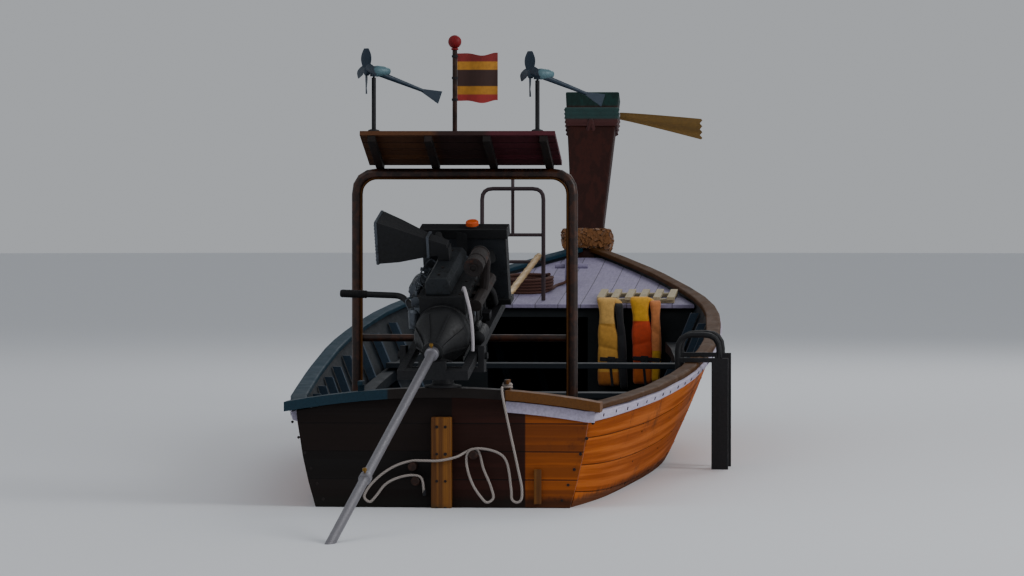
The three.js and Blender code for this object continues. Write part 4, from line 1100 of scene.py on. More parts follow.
def random_value(tree: Tree, seed: Socket, low: float | Point, high: float | Point) -> Socket:
    """Draws a number, or three, for each point.

    Args:
        tree: The group's nodes.
        seed: The group's seed.
        low: The lowest value.
        high: The highest value.

    Returns:
        The value's socket.
    """
    three = isinstance(low, tuple)
    ends = (low, high) if three else (None, None, low, high)
    kind = "FLOAT_VECTOR" if three else "FLOAT"
    node = tree.node("FunctionNodeRandomValue", *ends, Seed=seed, data_type=kind)
    return next(socket for socket in node.outputs if socket.enabled)


def build_studs(tree: Tree, ins: Sockets) -> Node:
    """Stands a small round or six-sided head on every point, along the point's own direction.

    Args:
        tree: The group's nodes.
        ins: The group's inputs.

    Returns:
        The node of the heads.
    """
    head = tree.node("GeometryNodeMeshCylinder", Vertices=ins["Sides"], Radius=ins["Radius"],
                     Depth=ins["Height"])
    out = tree.node("GeometryNodeInputNamedAttribute", Name="out", data_type="FLOAT_VECTOR")
    stand = tree.node("FunctionNodeAlignRotationToVector", Vector=out.outputs["Attribute"], axis="Z")
    return tree.node("GeometryNodeInstanceOnPoints", Points=ins["Geometry"], Instance=head.outputs["Mesh"],
                     Rotation=stand.outputs["Rotation"], Scale=random_value(tree, ins["Seed"], 0.88, 1.1))


def build_slats(tree: Tree, ins: Sockets) -> Node:
    """Sets a row of equal bars, from a first one in equal steps.

    Args:
        tree: The group's nodes.
        ins: The group's inputs.

    Returns:
        The node of the bars.
    """
    bar = tree.node("GeometryNodeMeshCube", Size=ins["Size"]).outputs["Mesh"]
    row = tree.node("GeometryNodeMeshLine", Count=ins["Count"], Start_Location=ins["First"],
                    Offset=ins["Step"])
    return tree.node("GeometryNodeInstanceOnPoints", Points=row.outputs["Mesh"], Instance=bar)


def build_runs(tree: Tree, ins: Sockets) -> Node:
    """Runs a round tube along every line of points.

    Args:
        tree: The group's nodes.
        ins: The group's inputs.

    Returns:
        The node of the tubes.
    """
    line = tree.node("GeometryNodeMeshToCurve", Mesh=ins["Geometry"]).outputs["Curve"]
    ring = tree.node("GeometryNodeCurvePrimitiveCircle", Resolution=ins["Sides"], Radius=ins["Radius"])
    return tree.node("GeometryNodeCurveToMesh", Curve=line, Profile_Curve=ring.outputs["Curve"],
                     Fill_Caps=True)


def build_petals(tree: Tree, ins: Sockets) -> Node:
    """Grows small cupped petals on a surface, turned and sized at random.

    Args:
        tree: The group's nodes.
        ins: The group's inputs.

    Returns:
        The node of the petals.
    """
    spread = tree.node("GeometryNodeDistributePointsOnFaces", Mesh=ins["Geometry"], Density=ins["Density"],
                       Seed=ins["Seed"]).outputs
    petal = tree.node("GeometryNodeMeshCone", Vertices=6, Radius_Top=ins["Radius"], Radius_Bottom=0.002,
                      Depth=ins["Radius"]).outputs["Mesh"]
    tilt, turn = 0.6, 3.1
    angles = random_value(tree, ins["Seed"], (-tilt, -tilt, -turn), (tilt, tilt, turn))
    euler = tree.node("FunctionNodeEulerToRotation", Euler=angles).outputs["Rotation"]
    both = tree.node("FunctionNodeRotateRotation", Rotation=spread["Rotation"], Rotate_By=euler,
                     rotation_space="LOCAL").outputs["Rotation"]
    return tree.node("GeometryNodeInstanceOnPoints", Points=spread["Points"], Instance=petal, Rotation=both,
                     Scale=random_value(tree, ins["Seed"], 0.6, 1.15))


STUDS = shape_group("Studs", {"Sides": 8, "Radius": 0.005, "Height": 0.004, "Seed": 7}, build_studs)
SLATS = shape_group("Slats", {"Size": "Vector", "Count": 10, "First": "Vector", "Step": "Vector"},
                    build_slats)
RUNS = shape_group("Runs", {"Sides": 10, "Radius": 0.01}, build_runs)
PETALS = shape_group("Petals", {"Density": 4000.0, "Radius": 0.012, "Seed": 7}, build_petals)


def grown(name: str, base: Mesh, group: NodeTree, dress: Dress, place: Matrix | None = None,
          **values: object) -> Piece:
    """Runs a geometry node tree on a mesh, and makes its result a piece of the boat.

    Args:
        name: The piece's name.
        base: The mesh that goes in.
        group: The tree.
        dress: The piece's finish, slot, body and edges.
        place: Where the result is put, if it isn't in place.
        **values: The tree's other inputs, by name.

    Returns:
        The piece.
    """
    holder = bpy.data.objects.new(f"{name}_base", base)
    bpy.context.scene.collection.objects.link(holder)
    modifier = holder.modifiers.new(name, "NODES")
    modifier.node_group = group
    settings = {**values, "Material": dress.finish.material()}
    for item in group.interface.items_tree:
        if item.in_out == "INPUT" and item.name in settings:
            modifier[item.identifier] = settings[item.name]
    graph = bpy.context.evaluated_depsgraph_get()
    result = bpy.data.meshes.new_from_object(holder.evaluated_get(graph))
    result.name = name
    holder.modifiers.remove(modifier)
    bpy.data.objects.remove(holder)
    if place:
        result.transform(place)
    return dressed(name, result, dress)


def studs(name: str, places: Sequence[Spot], radius: float, height: float, dress: Dress,
          sides: int = 8) -> Piece:
    """Puts a small head on each place, as one piece.

    Args:
        name: The piece's name.
        places: Where each head stands, and its direction.
        radius: The heads' radius.
        height: The heads' height.
        dress: The piece's finish, slot and body.
        sides: How many sides a head has.

    Returns:
        The piece.
    """
    base = wire(f"{name}_points", [place for place, _ in places])
    directions = base.attributes.new("out", "FLOAT_VECTOR", "POINT")
    directions.data.foreach_set("vector", [v for _, out in places for v in out])
    return grown(name, base, STUDS, dress, Sides=sides, Radius=radius, Height=height)


def runs(name: str, lines: Iterable[Sequence[Vector]], radius: float, dress: Dress, sides: int = 10,
         place: Matrix = Matrix.Identity(4)) -> Piece:
    """Makes a round tube along each line of points, as one piece.

    Args:
        name: The piece's name.
        lines: The lines.
        radius: The tubes' radius.
        dress: The piece's finish, slot and body.
        sides: How many faces go round a tube.
        place: Where the lines are put.

    Returns:
        The piece.
    """
    points: list[Vector] = []
    edges: list[tuple[int, int]] = []
    for line in lines:
        edges += [(len(points) + i, len(points) + i + 1) for i in range(len(line) - 1)]
        points += [place @ Vector(p) for p in line]
    return grown(name, wire(f"{name}_lines", points, edges), RUNS, dress, Sides=sides, Radius=radius)


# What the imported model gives


def joint(name: str) -> dict:
    """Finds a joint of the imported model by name."""
    return next(row for row in frame["joints"] if row["name"] == name)


def frame_of(across: Vector, up: Vector, along: Vector, middle: Sequence[float]) -> Matrix:
    """Makes a place from its three directions and its middle.

    Args:
        across: Where x points.
        up: Where y points.
        along: Where z points.
        middle: Where it stands.

    Returns:
        The place.
    """
    place = Matrix((across, up, along)).transposed().to_4x4()
    place.translation = Vector(middle)
    return place


def engine_place() -> Matrix:
    """Finds the engine's own frame.

    Returns:
        The frame, with x forward along the shaft and z up, from the tilt axis.
    """
    across = Vector(joint("tail_tilt")["axis"]).normalized()
    along = Vector(joint("propeller_spin")["axis"]).normalized()
    return frame_of(along, across, along.cross(across), joint("tail_tilt")["pos_m"])


@cache
def faces_of(node: str) -> BVHTree:
    """Returns a search tree over a node's faces."""
    mesh = frame["nodes"][node].data
    return BVHTree.FromPolygons([v.co for v in mesh.vertices], [tuple(p.vertices) for p in mesh.polygons])


def cast(node: str, start: Sequence[float], way: Sequence[float]) -> Spot | None:
    """Finds where a line first meets a node, with the surface's direction there, or None."""
    place, out, _, _ = faces_of(node).ray_cast(Vector(start), Vector(way))
    return None if place is None else (place, out)


# The planked hull


@dataclass
class Planking:
    """The hull's planked skin, with real seams between the strakes and nails along the ribs."""

    strakes: int = 8
    per_strake: int = 4
    per_station: int = 3
    per_span: int = 8
    plank: float = 0.028
    seam_half: float = 0.004
    seam_depth: float = 0.004
    girth: float = 1.3
    far_side: float = 3.0
    inner_points: int = 12
    keel_share: float = 0.82
    keel_half: float = 0.004
    sheer_drop: float = 0.004
    first_rib: float = -4.4
    rib_pitch: float = 0.6
    rib_count: int = 15
    nail_size: Pair = (0.0055, 0.003)
    nail_shares: Pair = (0.2, 0.8)
    nail_proud: float = 0.0008
    seed: int = 11
    rim_tone: float = 0.3

    def stations(self) -> list[list[Vector]]:
        """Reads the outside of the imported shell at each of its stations.

        Returns:
            Sections from stern to bow, each from the sheer down to the keel.
        """
        found: dict[float, set[Pair]] = {}
        for vertex in frame["nodes"]["hull_shell"].data.vertices:
            x, y, z = (round(c, 5) for c in vertex.co)
            found.setdefault(round(x, 3), set()).add((y, z))
        sections = []
        for x, points in sorted(found.items()):
            ordered = sorted(points)
            port = [p for p in self.half_outline(ordered) + self.half_outline(ordered[::-1]) if p[0] > 0]
            sheer = max(port, key=lambda p: (round(p[1], 3), p[0]))
            below = sorted((p for p in port if p[1] < sheer[1] - self.sheer_drop), key=lambda p: -p[1])
            sections.append([Vector((x, *p)) for p in (sheer, *below)])
        return sections

    @staticmethod
    def half_outline(points: Sequence[Pair]) -> list[Pair]:
        """Finds the outer points of a flat set, along one side of it.

        Args:
            points: The points, in order from one end to the other.

        Returns:
            The outer ones, without the last.
        """
        chain: list[Pair] = []
        for p in points:
            while len(chain) > 1:
                (ay, az), (by, bz) = chain[-2:]
                if (by - ay) * (p[1] - az) - (bz - az) * (p[0] - ay) > -1e-7:
                    break
                chain.pop()
            chain.append(p)
        return chain[:-1]

    def fractions(self, girth: float) -> list[Pair]:
        """Lists how far down the girth each point of a section lies, with its depth below the surface.

        Args:
            girth: The section's length.

        Returns:
            The share of the length and the depth of each point.
        """
        seam, marks = self.seam_half / girth, []
        for i in range(self.strakes):
            low, high = i / self.strakes, (i + 1) / self.strakes
            first, last = low + (seam if i else 0), high - (seam if i < self.strakes - 1 else 0)
            if i:
                marks.append((low, self.seam_depth))
            marks += [(first + (last - first) * k / self.per_strake, 0.0) for k in range(self.per_strake + 1)]
        return marks

    @staticmethod
    def inwards(step: Vector) -> Vector:
        """Returns the direction into the hull at a step down a section."""
        return Vector((0, step.z, -step.y)).normalized()

    def point_at(self, line: Sequence[Vector], fraction: float, depth: float) -> Vector:
        """Finds a point of a section.

        Args:
            line: The section's points.
            fraction: How far down it the point is, as a share.
            depth: How far inwards it is moved.

        Returns:
            The point.
        """
        goal, walked = path_length(line) * fraction, 0.0
        for a, b in zip(line, line[1:]):
            step = (b - a).length
            if walked + step >= goal - 1e-9:
                return a.lerp(b, (goal - walked) / step) + self.inwards(b - a) * depth
            walked += step
        return line[-1].copy()

    def sections(self) -> list[list[Vector]]:
        """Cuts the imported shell's stations finely.

        Returns:
            Sections from stern to bow, each from the sheer down to the keel.
        """
        rows = []
        for line in (smooth_path(points, self.per_span) for points in self.stations()):
            rows.append([self.point_at(line, *mark) for mark in self.fractions(path_length(line))])
        columns = [smooth_path(column, self.per_station) for column in zip(*rows)]
        return [list(row) for row in zip(*columns)]

    def inner(self, section: Sequence[Vector]) -> list[Vector]:
        """Finds the inside of a section, one plank's thickness in.

        Args:
            section: The section's outside.

        Returns:
            Fewer points, from the sheer down.
        """
        steps = self.inner_points - 1
        flat = [section[round(i * (len(section) - 1) / steps)] for i in range(self.inner_points)]
        points = [p + self.inwards(flat[min(i + 1, steps)] - flat[max(i - 1, 0)]) * self.plank
                  for i, p in enumerate(flat)]
        points[0].z = flat[0].z
        keel = flat[-1]
        points[-1] = Vector((keel.x, max(keel.y * self.keel_share, self.keel_half), keel.z + self.plank))
        return points

    def build(self) -> list[Piece]:
        """Makes the skin and its nails.

        Returns:
            The pieces.
        """
        sections = self.sections()
        rings = []
        for section in sections:
            inner = self.inner(section)
            rings.append([*section, *map(other_side, reversed(section)), *map(other_side, inner),
                          *reversed(inner)])
        outside, count = len(sections[0]) * 2, len(rings[0])
        faces = skin(len(rings), count)
        for offset in (0, (len(rings) - 1) * count):
            faces += self.end_faces(offset, outside, count)
        mesh = new_mesh("hull_planking", [p for ring in rings for p in ring], faces)
        keep(mesh, "plank", self.tones(count) * len(rings))
        self.lay_grain(mesh, count)
        dress = Dress(HULL_VARNISH, "varnished_planking", replaces=("hull_shell",), smooth=32)
        planks = dressed("hull_planking", mesh, dress)
        mesh.materials.append(INSIDE_PAINT.material())
        for face in mesh.polygons:
            places = [v % count for v in face.vertices]
            if min(places) >= outside - 1 or {0, count - 1} <= set(places):
                face.material_index = 1
        return [planks, self.nails(sections)]

    def lay_grain(self, mesh: Mesh, count: int) -> None:
        """Marks the seams, and gives each strake a UV map that runs along it, in metres.

        Args:
            mesh: The skin.
            count: How many points a section of it has.
        """
        marks = self.fractions(self.girth)
        downs = [(share * self.girth, depth) for share, depth in marks]
        downs += [(down + self.far_side, depth) for down, depth in reversed(downs)]
        downs += [(self.far_side, 0.0)] * (count - len(downs))
        keep(mesh, "seam", [1.0 if depth else 0.0 for _, depth in downs] * (len(mesh.vertices) // count))
        lay(mesh, "planks", lambda i: (mesh.vertices[i].co.x, downs[i % count][0]))

    @staticmethod
    def end_faces(offset: int, outside: int, count: int) -> Faces:
        """Closes the skin's end between its outside and its inside.

        Args:
            offset: The number of the end's first point.
            outside: How many points are on the outside.
            count: How many points there are.

        Returns:
            The faces.
        """
        faces: Faces = []
        steps = outside - 1
        matched = [round(j * (count - outside - 1) / steps) for j in range(outside)]
        for j in range(steps):
            a, b = offset + j, offset + j + 1
            c, d = offset + count - 1 - matched[j + 1], offset + count - 1 - matched[j]
            faces.append((a, b, c) if c == d else (a, b, c, d))
        return faces

    def tones(self, count: int) -> list[float]:
        """Gives each strake its own tone, from a fixed seed.

        Args:
            count: How many points a section has.

        Returns:
            The tone of each point of a section.
        """
        draw = random.Random(self.seed)
        shades = [draw.random() for _ in range(self.strakes * 2)]
        per_side = self.strakes * (self.per_strake + 1) + self.strakes - 1
        ring = [self.rim_tone] * count
        for j in range(2 * per_side):
            side, place = (0, j) if j < per_side else (1, 2 * per_side - 1 - j)
            ring[j] = shades[min(place // (self.per_strake + 2), self.strakes - 1) * 2 + side]
        return ring

    def nails(self, sections: Sequence[Sequence[Vector]]) -> Piece:
        """Puts two nails through each strake at each rib.

        Args:
            sections: The skin's sections.

        Returns:
            The nails.
        """
        places: list[Spot] = []
        for rib in (self.first_rib + self.rib_pitch * i for i in range(self.rib_count)):
            section = min(sections, key=lambda row: abs(row[0].x - rib))
            last = len(section) - 1
            for at in (strake + share for strake in range(self.strakes - 1) for share in self.nail_shares):
                j = round(at * last / self.strakes)
                out = -self.inwards(section[min(j + 1, last)] - section[j])
                place = Vector((rib, *(section[j] + out * self.nail_proud).yz))
                places += [(place, out), (other_side(place), other_side(out))]
        return studs("hull_nails", places, *self.nail_size, Dress(RUSTED, "iron"))


# The stern


@dataclass
class Stern:
    """The transom with its boards, trim, cap and post, and the pegs that hold the stern rope."""

    trim_ends: Pair = (-0.33, -0.79)
    cap_end: float = -0.758
    trim_tall: float = 0.058
    trim_thick: float = 0.012
    trim_drop: float = 0.006
    steps: int = 10
    sleeve: float = 0.0225
    pegs: tuple[Point, ...] = ((-0.165, 0.275, 0.074), (0.15, 0.214, 0.07), (0.135, 0.139, 0.068))
    board: tuple[Pair, Pair] = ((-0.514, 0.02), (-0.476, 0.2))
    board_thick: float = 0.02
    post_bolts: tuple[float, ...] = (0.0, 0.14, 0.28, 0.42)
    post_bolt_off: float = 0.022
    edge_nails: int = 5
    edge_first: Pair = (0.62, 0.04)
    edge_run: Pair = (0.16, 0.4)
    face: float = field(init=False)

    def __post_init__(self) -> None:
        """Finds the transom board's aft face."""
        self.face = cast("transom_board", (-6, 0.3, 0.4), FORE)[0].x

    def build(self) -> list[Piece]:
        """Makes every piece of the stern.

        Returns:
            The pieces.
        """
        low, high = self.board
        board = Shape().box((self.face - self.board_thick, *low), (self.face - GAP, *high))
        return [
            softened("transom_board", SHADED_TRANSOM_VARNISH, 0.002),
            softened("transom_cap", CAP_PAINT, 0.005, 3),
            softened("stern_post", AMBER_TIMBER, 0.006, 3),
            self.trim(),
            board.piece("transom_cleat_board", AMBER_TIMBER, "amber_timber", bevel=0.003),
            self.peg_sleeves(),
            self.bolts(),
        ]

    def underside(self, y: float) -> float:
        """Finds the cap's underside above the transom's face.

        Args:
            y: The distance from the centreline.

        Returns:
            Its height.
        """
        low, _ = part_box("transom_cap")
        met = cast("transom_cap", (low.x + 0.02, y, 0.2), UP)
        return met[0].z if met else low.z

    def trim(self) -> Piece:
        """Makes the pale strake under the cap's starboard end.

        Returns:
            The strake.
        """
        near, far = self.face - GAP, self.face - self.trim_thick
        first, last = self.trim_ends
        rings = []
        for y in (first + (last - first) * i / self.steps for i in range(self.steps + 1)):
            high = self.underside(max(y, self.cap_end)) - self.trim_drop
            low = high - self.trim_tall
            rings.append([(near, y, high), (far, y, high), (far, y, low), (near, y, low)])
        return Shape().loft(rings).piece("transom_trim", PALE_PAINT, "pale_paint", bevel=0.002)

    def peg_sleeves(self) -> Piece:
        """Turns a wooden sleeve round each peg that the stern rope hangs on.

        Returns:
            The sleeves.
        """
        shape, size = Shape(), self.sleeve
        for y, z, tall in self.pegs:
            shape.turned([(0.0006, size + 0.003), (0.005, size + 0.003), (0.008, size), (tall - 0.004, size),
                          (tall, size - 0.004), (tall, 0.001)], (self.face, y, z), AFT)
        return shape.piece("peg_sleeves", DARK_TIMBER, "dark_timber", smooth=40)

    def bolts(self) -> Piece:
        """Puts bolts through the stern post and nails along the transom's edge.

        Returns:
            The bolts.
        """
        low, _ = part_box("stern_post")
        (y, z), (out, up) = self.edge_first, self.edge_run
        places = [(low.x - 0.001, side * self.post_bolt_off, height)
                  for height in self.post_bolts for side in (-1, 1)]
        places += [(self.face - 2 * GAP, side * (y + out * share), z + up * share)
                   for share in (k / self.edge_nails for k in range(self.edge_nails + 1))
                   for side in (-1, 1)]
        spots = [(Vector(place), Vector(AFT)) for place in places]
        return studs("stern_bolts", spots, 0.008, 0.004, Dress(RUSTED, "iron"), 10)


# Ropes


@dataclass
class RopeLay:
    """Three strands laid round each other along a path."""

    radius: float
    step: float = 0.75
    sides: int = 15
    strands: int = 3
    hollow: float = 0.2
    lay: float = 7.0

    def mesh(self, name: str, path: Sequence[Vector]) -> Mesh:
        """Sweeps the strands' outline along a path while it turns.

        Args:
            name: The mesh's name.
            path: The rope's centreline.

        Returns:
            The rope, with its length in its UV map and the depth of the hollows between strands as an
            attribute, from which its finish paints shade.
        """
        pace = self.radius * self.step
        turn = 2 * math.pi * self.step / self.lay
        rings, hollows = [], []
        for i, (middle, up, side) in enumerate(carried_frames(even_path(path, pace))):
            ring = []
            for angle in circle(self.sides):
                dip = 1 - abs(math.sin(self.strands * (angle - turn * i) / 2))
                size = self.radius * (1 - self.hollow * dip**1.5)
                # How deep the lay is here; the rope's finish paints shade from it.
                hollows.append(dip**2)
                ring.append(middle + (up * math.cos(angle) + side * math.sin(angle)) * size)
            rings.append(ring)
        shape = Shape().loft(rings)
        mesh = new_mesh(name, shape.vertices, shape.faces)
        keep(mesh, "hollow", hollows)
        lay(mesh, "length", lambda i: (i // self.sides * pace, i % self.sides / self.sides))
        return mesh


@dataclass
class SternRope:
    """The rope that hangs in bights on the transom: made fast at the starboard cleat, its end bare."""

    radius: float = 0.007
    per_span: int = 8
    route: tuple[Point, ...] = (
        (-4.868, -0.3064, 0.6186), (-4.96, -0.31, 0.6202), (-4.993, -0.314, 0.615), (-5.004, -0.318, 0.585),
        (-5.006, -0.352, 0.418), (-5.005, -0.396, 0.215), (-5.001, -0.418, 0.096), (-4.998, -0.412, 0.044),
        (-4.997, -0.391, 0.032), (-4.996, -0.367, 0.046), (-4.996, -0.362, 0.1), (-4.996, -0.33, 0.258),
        (-4.996, -0.27, 0.297), (-4.996, -0.165, 0.306), (-4.997, -0.136, 0.28), (-4.998, -0.132, 0.225),
        (-4.998, -0.16, 0.13), (-4.997, -0.203, 0.062), (-4.995, -0.236, 0.031), (-4.992, -0.268, 0.052),
        (-4.988, -0.256, 0.112), (-4.982, -0.217, 0.205), (-4.976, -0.19, 0.292), (-4.977, -0.165, 0.306),
        (-4.986, -0.128, 0.291), (-5.014, -0.08, 0.266), (-5.024, 0.01, 0.247), (-5.01, 0.092, 0.246),
        (-4.992, 0.15, 0.244), (-4.99, 0.235, 0.219), (-4.99, 0.32, 0.165), (-4.99, 0.384, 0.096),
        (-4.99, 0.4, 0.054), (-4.99, 0.372, 0.031), (-4.99, 0.342, 0.058), (-4.99, 0.29, 0.122),
        (-4.99, 0.222, 0.157), (-4.99, 0.15, 0.1695), (-4.99, 0.106, 0.157), (-4.99, 0.088, 0.066),
    )
    whipping: tuple[Pair, ...] = ((-0.002, 0.0), (-0.002, 0.0066), (0.001, 0.0084), (0.024, 0.0084),
                                  (0.027, 0.0074))
    hitch_middle: Point = (-4.865, -0.33, 0.6226)
    hitch_reach: Point = (0.034, 0.021, 0.004)
    hitch_rise: float = 0.013
    hitch_turns: int = 2
    hitch_per_turn: int = 40
    hitch_step: float = 0.006
    hitch_squeeze: float = 0.92

    def build(self) -> list[Piece]:
        """Makes the rope, the whipping on its end and the turns on the cleat.

        Returns:
            The pieces.
        """
        path = smooth_path(self.route, self.per_span)
        rope = dressed("stern_rope_laid", RopeLay(self.radius).mesh("stern_rope_laid", path),
                       Dress(ROPE, "rope", replaces=("stern_rope",), smooth=70))
        end = Shape().turned(self.whipping, path[-1], sides=14)
        whipping = end.piece("stern_rope_whipping", WEBBING, "rope", smooth=60)
        round(path_length(path), 3)
        return [rope, whipping, self.hitch()]

    def hitch(self) -> Piece:
        """Makes the figure-of-eight turns that hold the rope on the starboard cleat.

        Returns:
            The turns.
        """
        long, wide, tall = self.hitch_reach
        turns = [Vector(self.hitch_middle) + Vector((long * math.sin(a), wide * math.sin(2 * a),
                                                     self.hitch_rise * level + tall * math.cos(a)))
                 for level in range(self.hitch_turns) for a in circle(self.hitch_per_turn)]
        line = even_path(smooth_path(turns, 2), self.hitch_step)
        shape = Shape().sweep(line, lambda _: self.radius * self.hitch_squeeze, 10)
        return shape.piece("cleat_hitch", ROPE, "rope", smooth=70)


@dataclass
class AnchorRope:
    """The anchor rope on the foredeck: a lead from the bitt to a round coil, all one rope."""

    radius: float = 0.01
    bitt_face: float = 3.52
    lead: tuple[Point, ...] = (
        (-0.0009, 0.006, 0.062), (-0.016, 0.006, 0.0635), (-0.034, 0.01, 0.052), (-0.05, 0.02, 0.03),
        (-0.07, 0.036, 0.016), (-0.11, 0.058, 0.0125), (-0.17, 0.078, 0.0125), (-0.24, 0.089, 0.0125),
        (-0.308, 0.092, 0.0125),
    )
    middle: Pair = (3.13, 0.262)
    mean: float = 0.16
    turns: int = 10
    start_angle: float = -1.52
    per_turn: int = 36
    ease: float = 0.16
    first_step: int = 5
    join: float = 0.016
    reach: float = 0.06

    @staticmethod
    def deck(x: float, y: float) -> float:
        """Returns the deck's height at a place."""
        return cast("foredeck", (x, y, 5.0), (0, 0, -1))[0].z

    def ring(self, whole: int) -> Pair:
        """Returns a turn's radius and its height above the deck: in and out again on every second layer."""
        out = self.radius if (whole + 1) // 2 % 2 == 0 else -self.radius
        return self.mean + out, self.radius * (1.06 + 1.98 * (whole // 2))

    def route(self) -> list[Vector]:
        """Runs from the bitt along the deck and round the coil.

        Returns:
            The rope's points.
        """
        points = [Vector((self.bitt_face + x, y, self.deck(self.bitt_face + min(x, -0.004), 0.3) + up))
                  for x, y, up in self.lead]
        cx, cy = self.middle
        base = self.deck(cx, cy)
        slope = (self.deck(cx + self.reach, cy) - self.deck(cx - self.reach, cy)) / (2 * self.reach)
        for i in range(self.first_step, self.turns * self.per_turn + 1):
            turn = i / self.per_turn
            move = max(0.0, (turn % 1 - 1 + self.ease) / self.ease)
            move = move * move * (3 - 2 * move)
            size, level = (a + (b - a) * move for a, b in zip(self.ring(int(turn)), self.ring(int(turn) + 1)))
            size += self.join * max(0.0, 1 - 4 * turn) ** 2
            angle = self.start_angle - 2 * math.pi * turn
            x, y = size * math.cos(angle), size * math.sin(angle)
            points.append(Vector((cx + x, cy + y, base + slope * x + level)))
        return points

    def build(self) -> list[Piece]:
        """Makes the rope.

        Returns:
            The rope alone.
        """
        path = smooth_path(self.route(), 3)
        rope = dressed("anchor_rope_laid", RopeLay(self.radius, 1.0).mesh("anchor_rope_laid", path), Dress(
            DARK_ROPE, "rope", replaces=("anchor_rope_lead", "anchor_rope_coil"), smooth=70))
        round(path_length(path), 3)
        return [rope]


# Cloth and padding


@dataclass(frozen=True)
class ClothGrid:
    """A sheet of cloth as a grid, with its own UV map in metres and a thickness."""

    columns: int
    rows: int
    thick: float = 0.0016

    def mesh(self, name: str, at: Callable[[float, float], Vector], size: Pair) -> Mesh:
        """Builds the sheet.

        Args:
            name: The mesh's name.
            at: Gives the place of a point, both of whose shares run from 0 to 1.
            size: The flat width and length, for the UV map.

        Returns:
            A closed thin sheet.
        """
        last, end, wide = self.columns, self.rows, self.rows + 1
        grid = [[at(i / last, j / end) for j in range(wide)] for i in range(last + 1)]
        back = []
        for i, column in enumerate(grid):
            for j, p in enumerate(column):
                a = grid[min(i + 1, last)][j] - grid[max(i - 1, 0)][j]
                b = column[min(j + 1, end)] - column[max(j - 1, 0)]
                back.append(p - a.cross(b).normalized() * self.thick)
        half = len(back)
        faces = []
        for a in (i * wide + j for i in range(last) for j in range(end)):
            b, c, d = a + wide, a + wide + 1, a + 1
            faces += [(a, b, c, d), (half + d, half + c, half + b, half + a)]
        rim = [*range(0, last * wide, wide), *range(last * wide, half - 1),
               *range(half - 1, end, -wide), *range(end, 0, -1)]
        faces += [(a, a + half, b + half, b) for a, b in zip(rim, [*rim[1:], rim[0]])]
        mesh = new_mesh(name, [*(p for column in grid for p in column), *back], faces)
        lay(mesh, "cloth", lambda i: (i % half // wide / last * size[0], i % half % wide / end * size[1]))
        return mesh


@dataclass
class Flag:
    """A small striped flag that hangs from the staff on the roof."""

    grid: ClothGrid = ClothGrid(36, 30)
    wave: float = 0.011
    sag: float = 0.016
    curl: float = 0.012
    hung_share: float = 0.965
    stripes: int = 6
    ties: tuple[float, ...] = (0.06, 0.5, 0.94)
    tie: tuple[Pair, ...] = ((-0.006, 0.0148), (-0.006, 0.017), (0.006, 0.017), (0.006, 0.0148))
    staff_off: float = 0.0133

    def build(self) -> list[Piece]:
        """Makes the flag as a waving sheet in the place of its solid, with the ties that hold it.

        Returns:
            The flag and its ties.
        """
        low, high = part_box("flag")
        wide, tall = high.y - low.y, high.z - low.z
        middle = (low.x + high.x) / 2

        def at(u: float, v: float) -> Vector:
            """Finds a point of the flag.

            Args:
                u: The share of its width, from the staff.
                v: The share of its height, from the top.

            Returns:
                The point.
            """
            ripple = math.sin(2.3 * math.pi * u + 1.2 * v) * self.wave * min(1.0, u * 3)
            edge = self.curl * math.sin(2.6 * math.pi * u) * u
            return Vector((middle + ripple, high.y - wide * self.hung_share * u,
                           high.z - tall * self.hung_share * v - self.sag * u * 0.5 + edge))

        edges = tuple(high.z - tall / self.stripes * k for k in (5, 4, 2, 1))
        bands = Bands(Axis.Z, edges, ("b47a18", "30160f", "b47a18", "7c1616"), 0.003)
        cloth = Cloth("flag_weave", "9c2220", "3c1c10", 1400.0, faded=0.25, bands=bands)
        flag = dressed("flag_cloth", self.grid.mesh("flag_cloth", at, (wide, tall)),
                       Dress(cloth, "flag_cloth", replaces=("flag",), smooth=70))
        shape = Shape()
        for share in self.ties:
            shape.turned(self.tie, (middle, high.y + self.staff_off, high.z - tall * share), sides=16)
        ties = shape.piece("flag_ties", WEBBING, "flag_cloth", smooth=50)
        return [flag, ties]


@dataclass
class Streamer:
    """The long gold streamer that flies to starboard from the top of the prow."""

    grid: ClothGrid = ClothGrid(60, 14)
    root: float = 0.052
    tip: float = 0.15
    drop: float = 0.092
    length: float = 0.58
    fold: float = 0.007
    wave: float = 0.013
    ragged: float = 0.01
    slack: float = 1.03
    folds: float = 2.6
    waves: float = 1.5
    teeth: int = 7
    torn_from: float = 0.8
    torn_steep: float = 5.0
    drop_power: float = 1.1
    hem: float = 0.012
    narrowed: float = 0.96

    def build(self) -> list[Piece]:
        """Makes the streamer in the place of its solid, with folds that open towards its end.

        Returns:
            The streamer alone.
        """
        low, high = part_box("prow_streamer")
        start, across = high.y - 0.001, (low.x + high.x) / 2

        def at(u: float, v: float) -> Vector:
            """Finds a point of the streamer.

            Args:
                u: The share of its length, from the post.
                v: The share of its width, from the top.

            Returns:
                The point.
            """
            half = (self.root + (self.tip - self.root) * u) / 2
            middle = high.z - self.root / 2 - self.drop * u ** self.drop_power
            fold = math.sin(v * self.folds * math.pi + u * 2.0) * self.fold * (0.4 + u)
            wave = self.wave * math.sin(math.pi * self.waves * u)
            torn = max(0.0, u - self.torn_from) * self.torn_steep
            ragged = self.ragged * math.sin(self.teeth * math.pi * v) * torn
            return Vector((across + fold * 0.9 + wave * 0.6,
                           start - (self.length - self.hem) * u - ragged * 0.9,
                           middle + half * (1 - 2 * v) * self.narrowed))

        piece = dressed("streamer_cloth", self.grid.mesh("streamer_cloth", at, (self.length, self.tip)),
                        Dress(STREAMER_CLOTH, "gold_cloth", replaces=("prow_streamer",), smooth=70))
        return [piece]


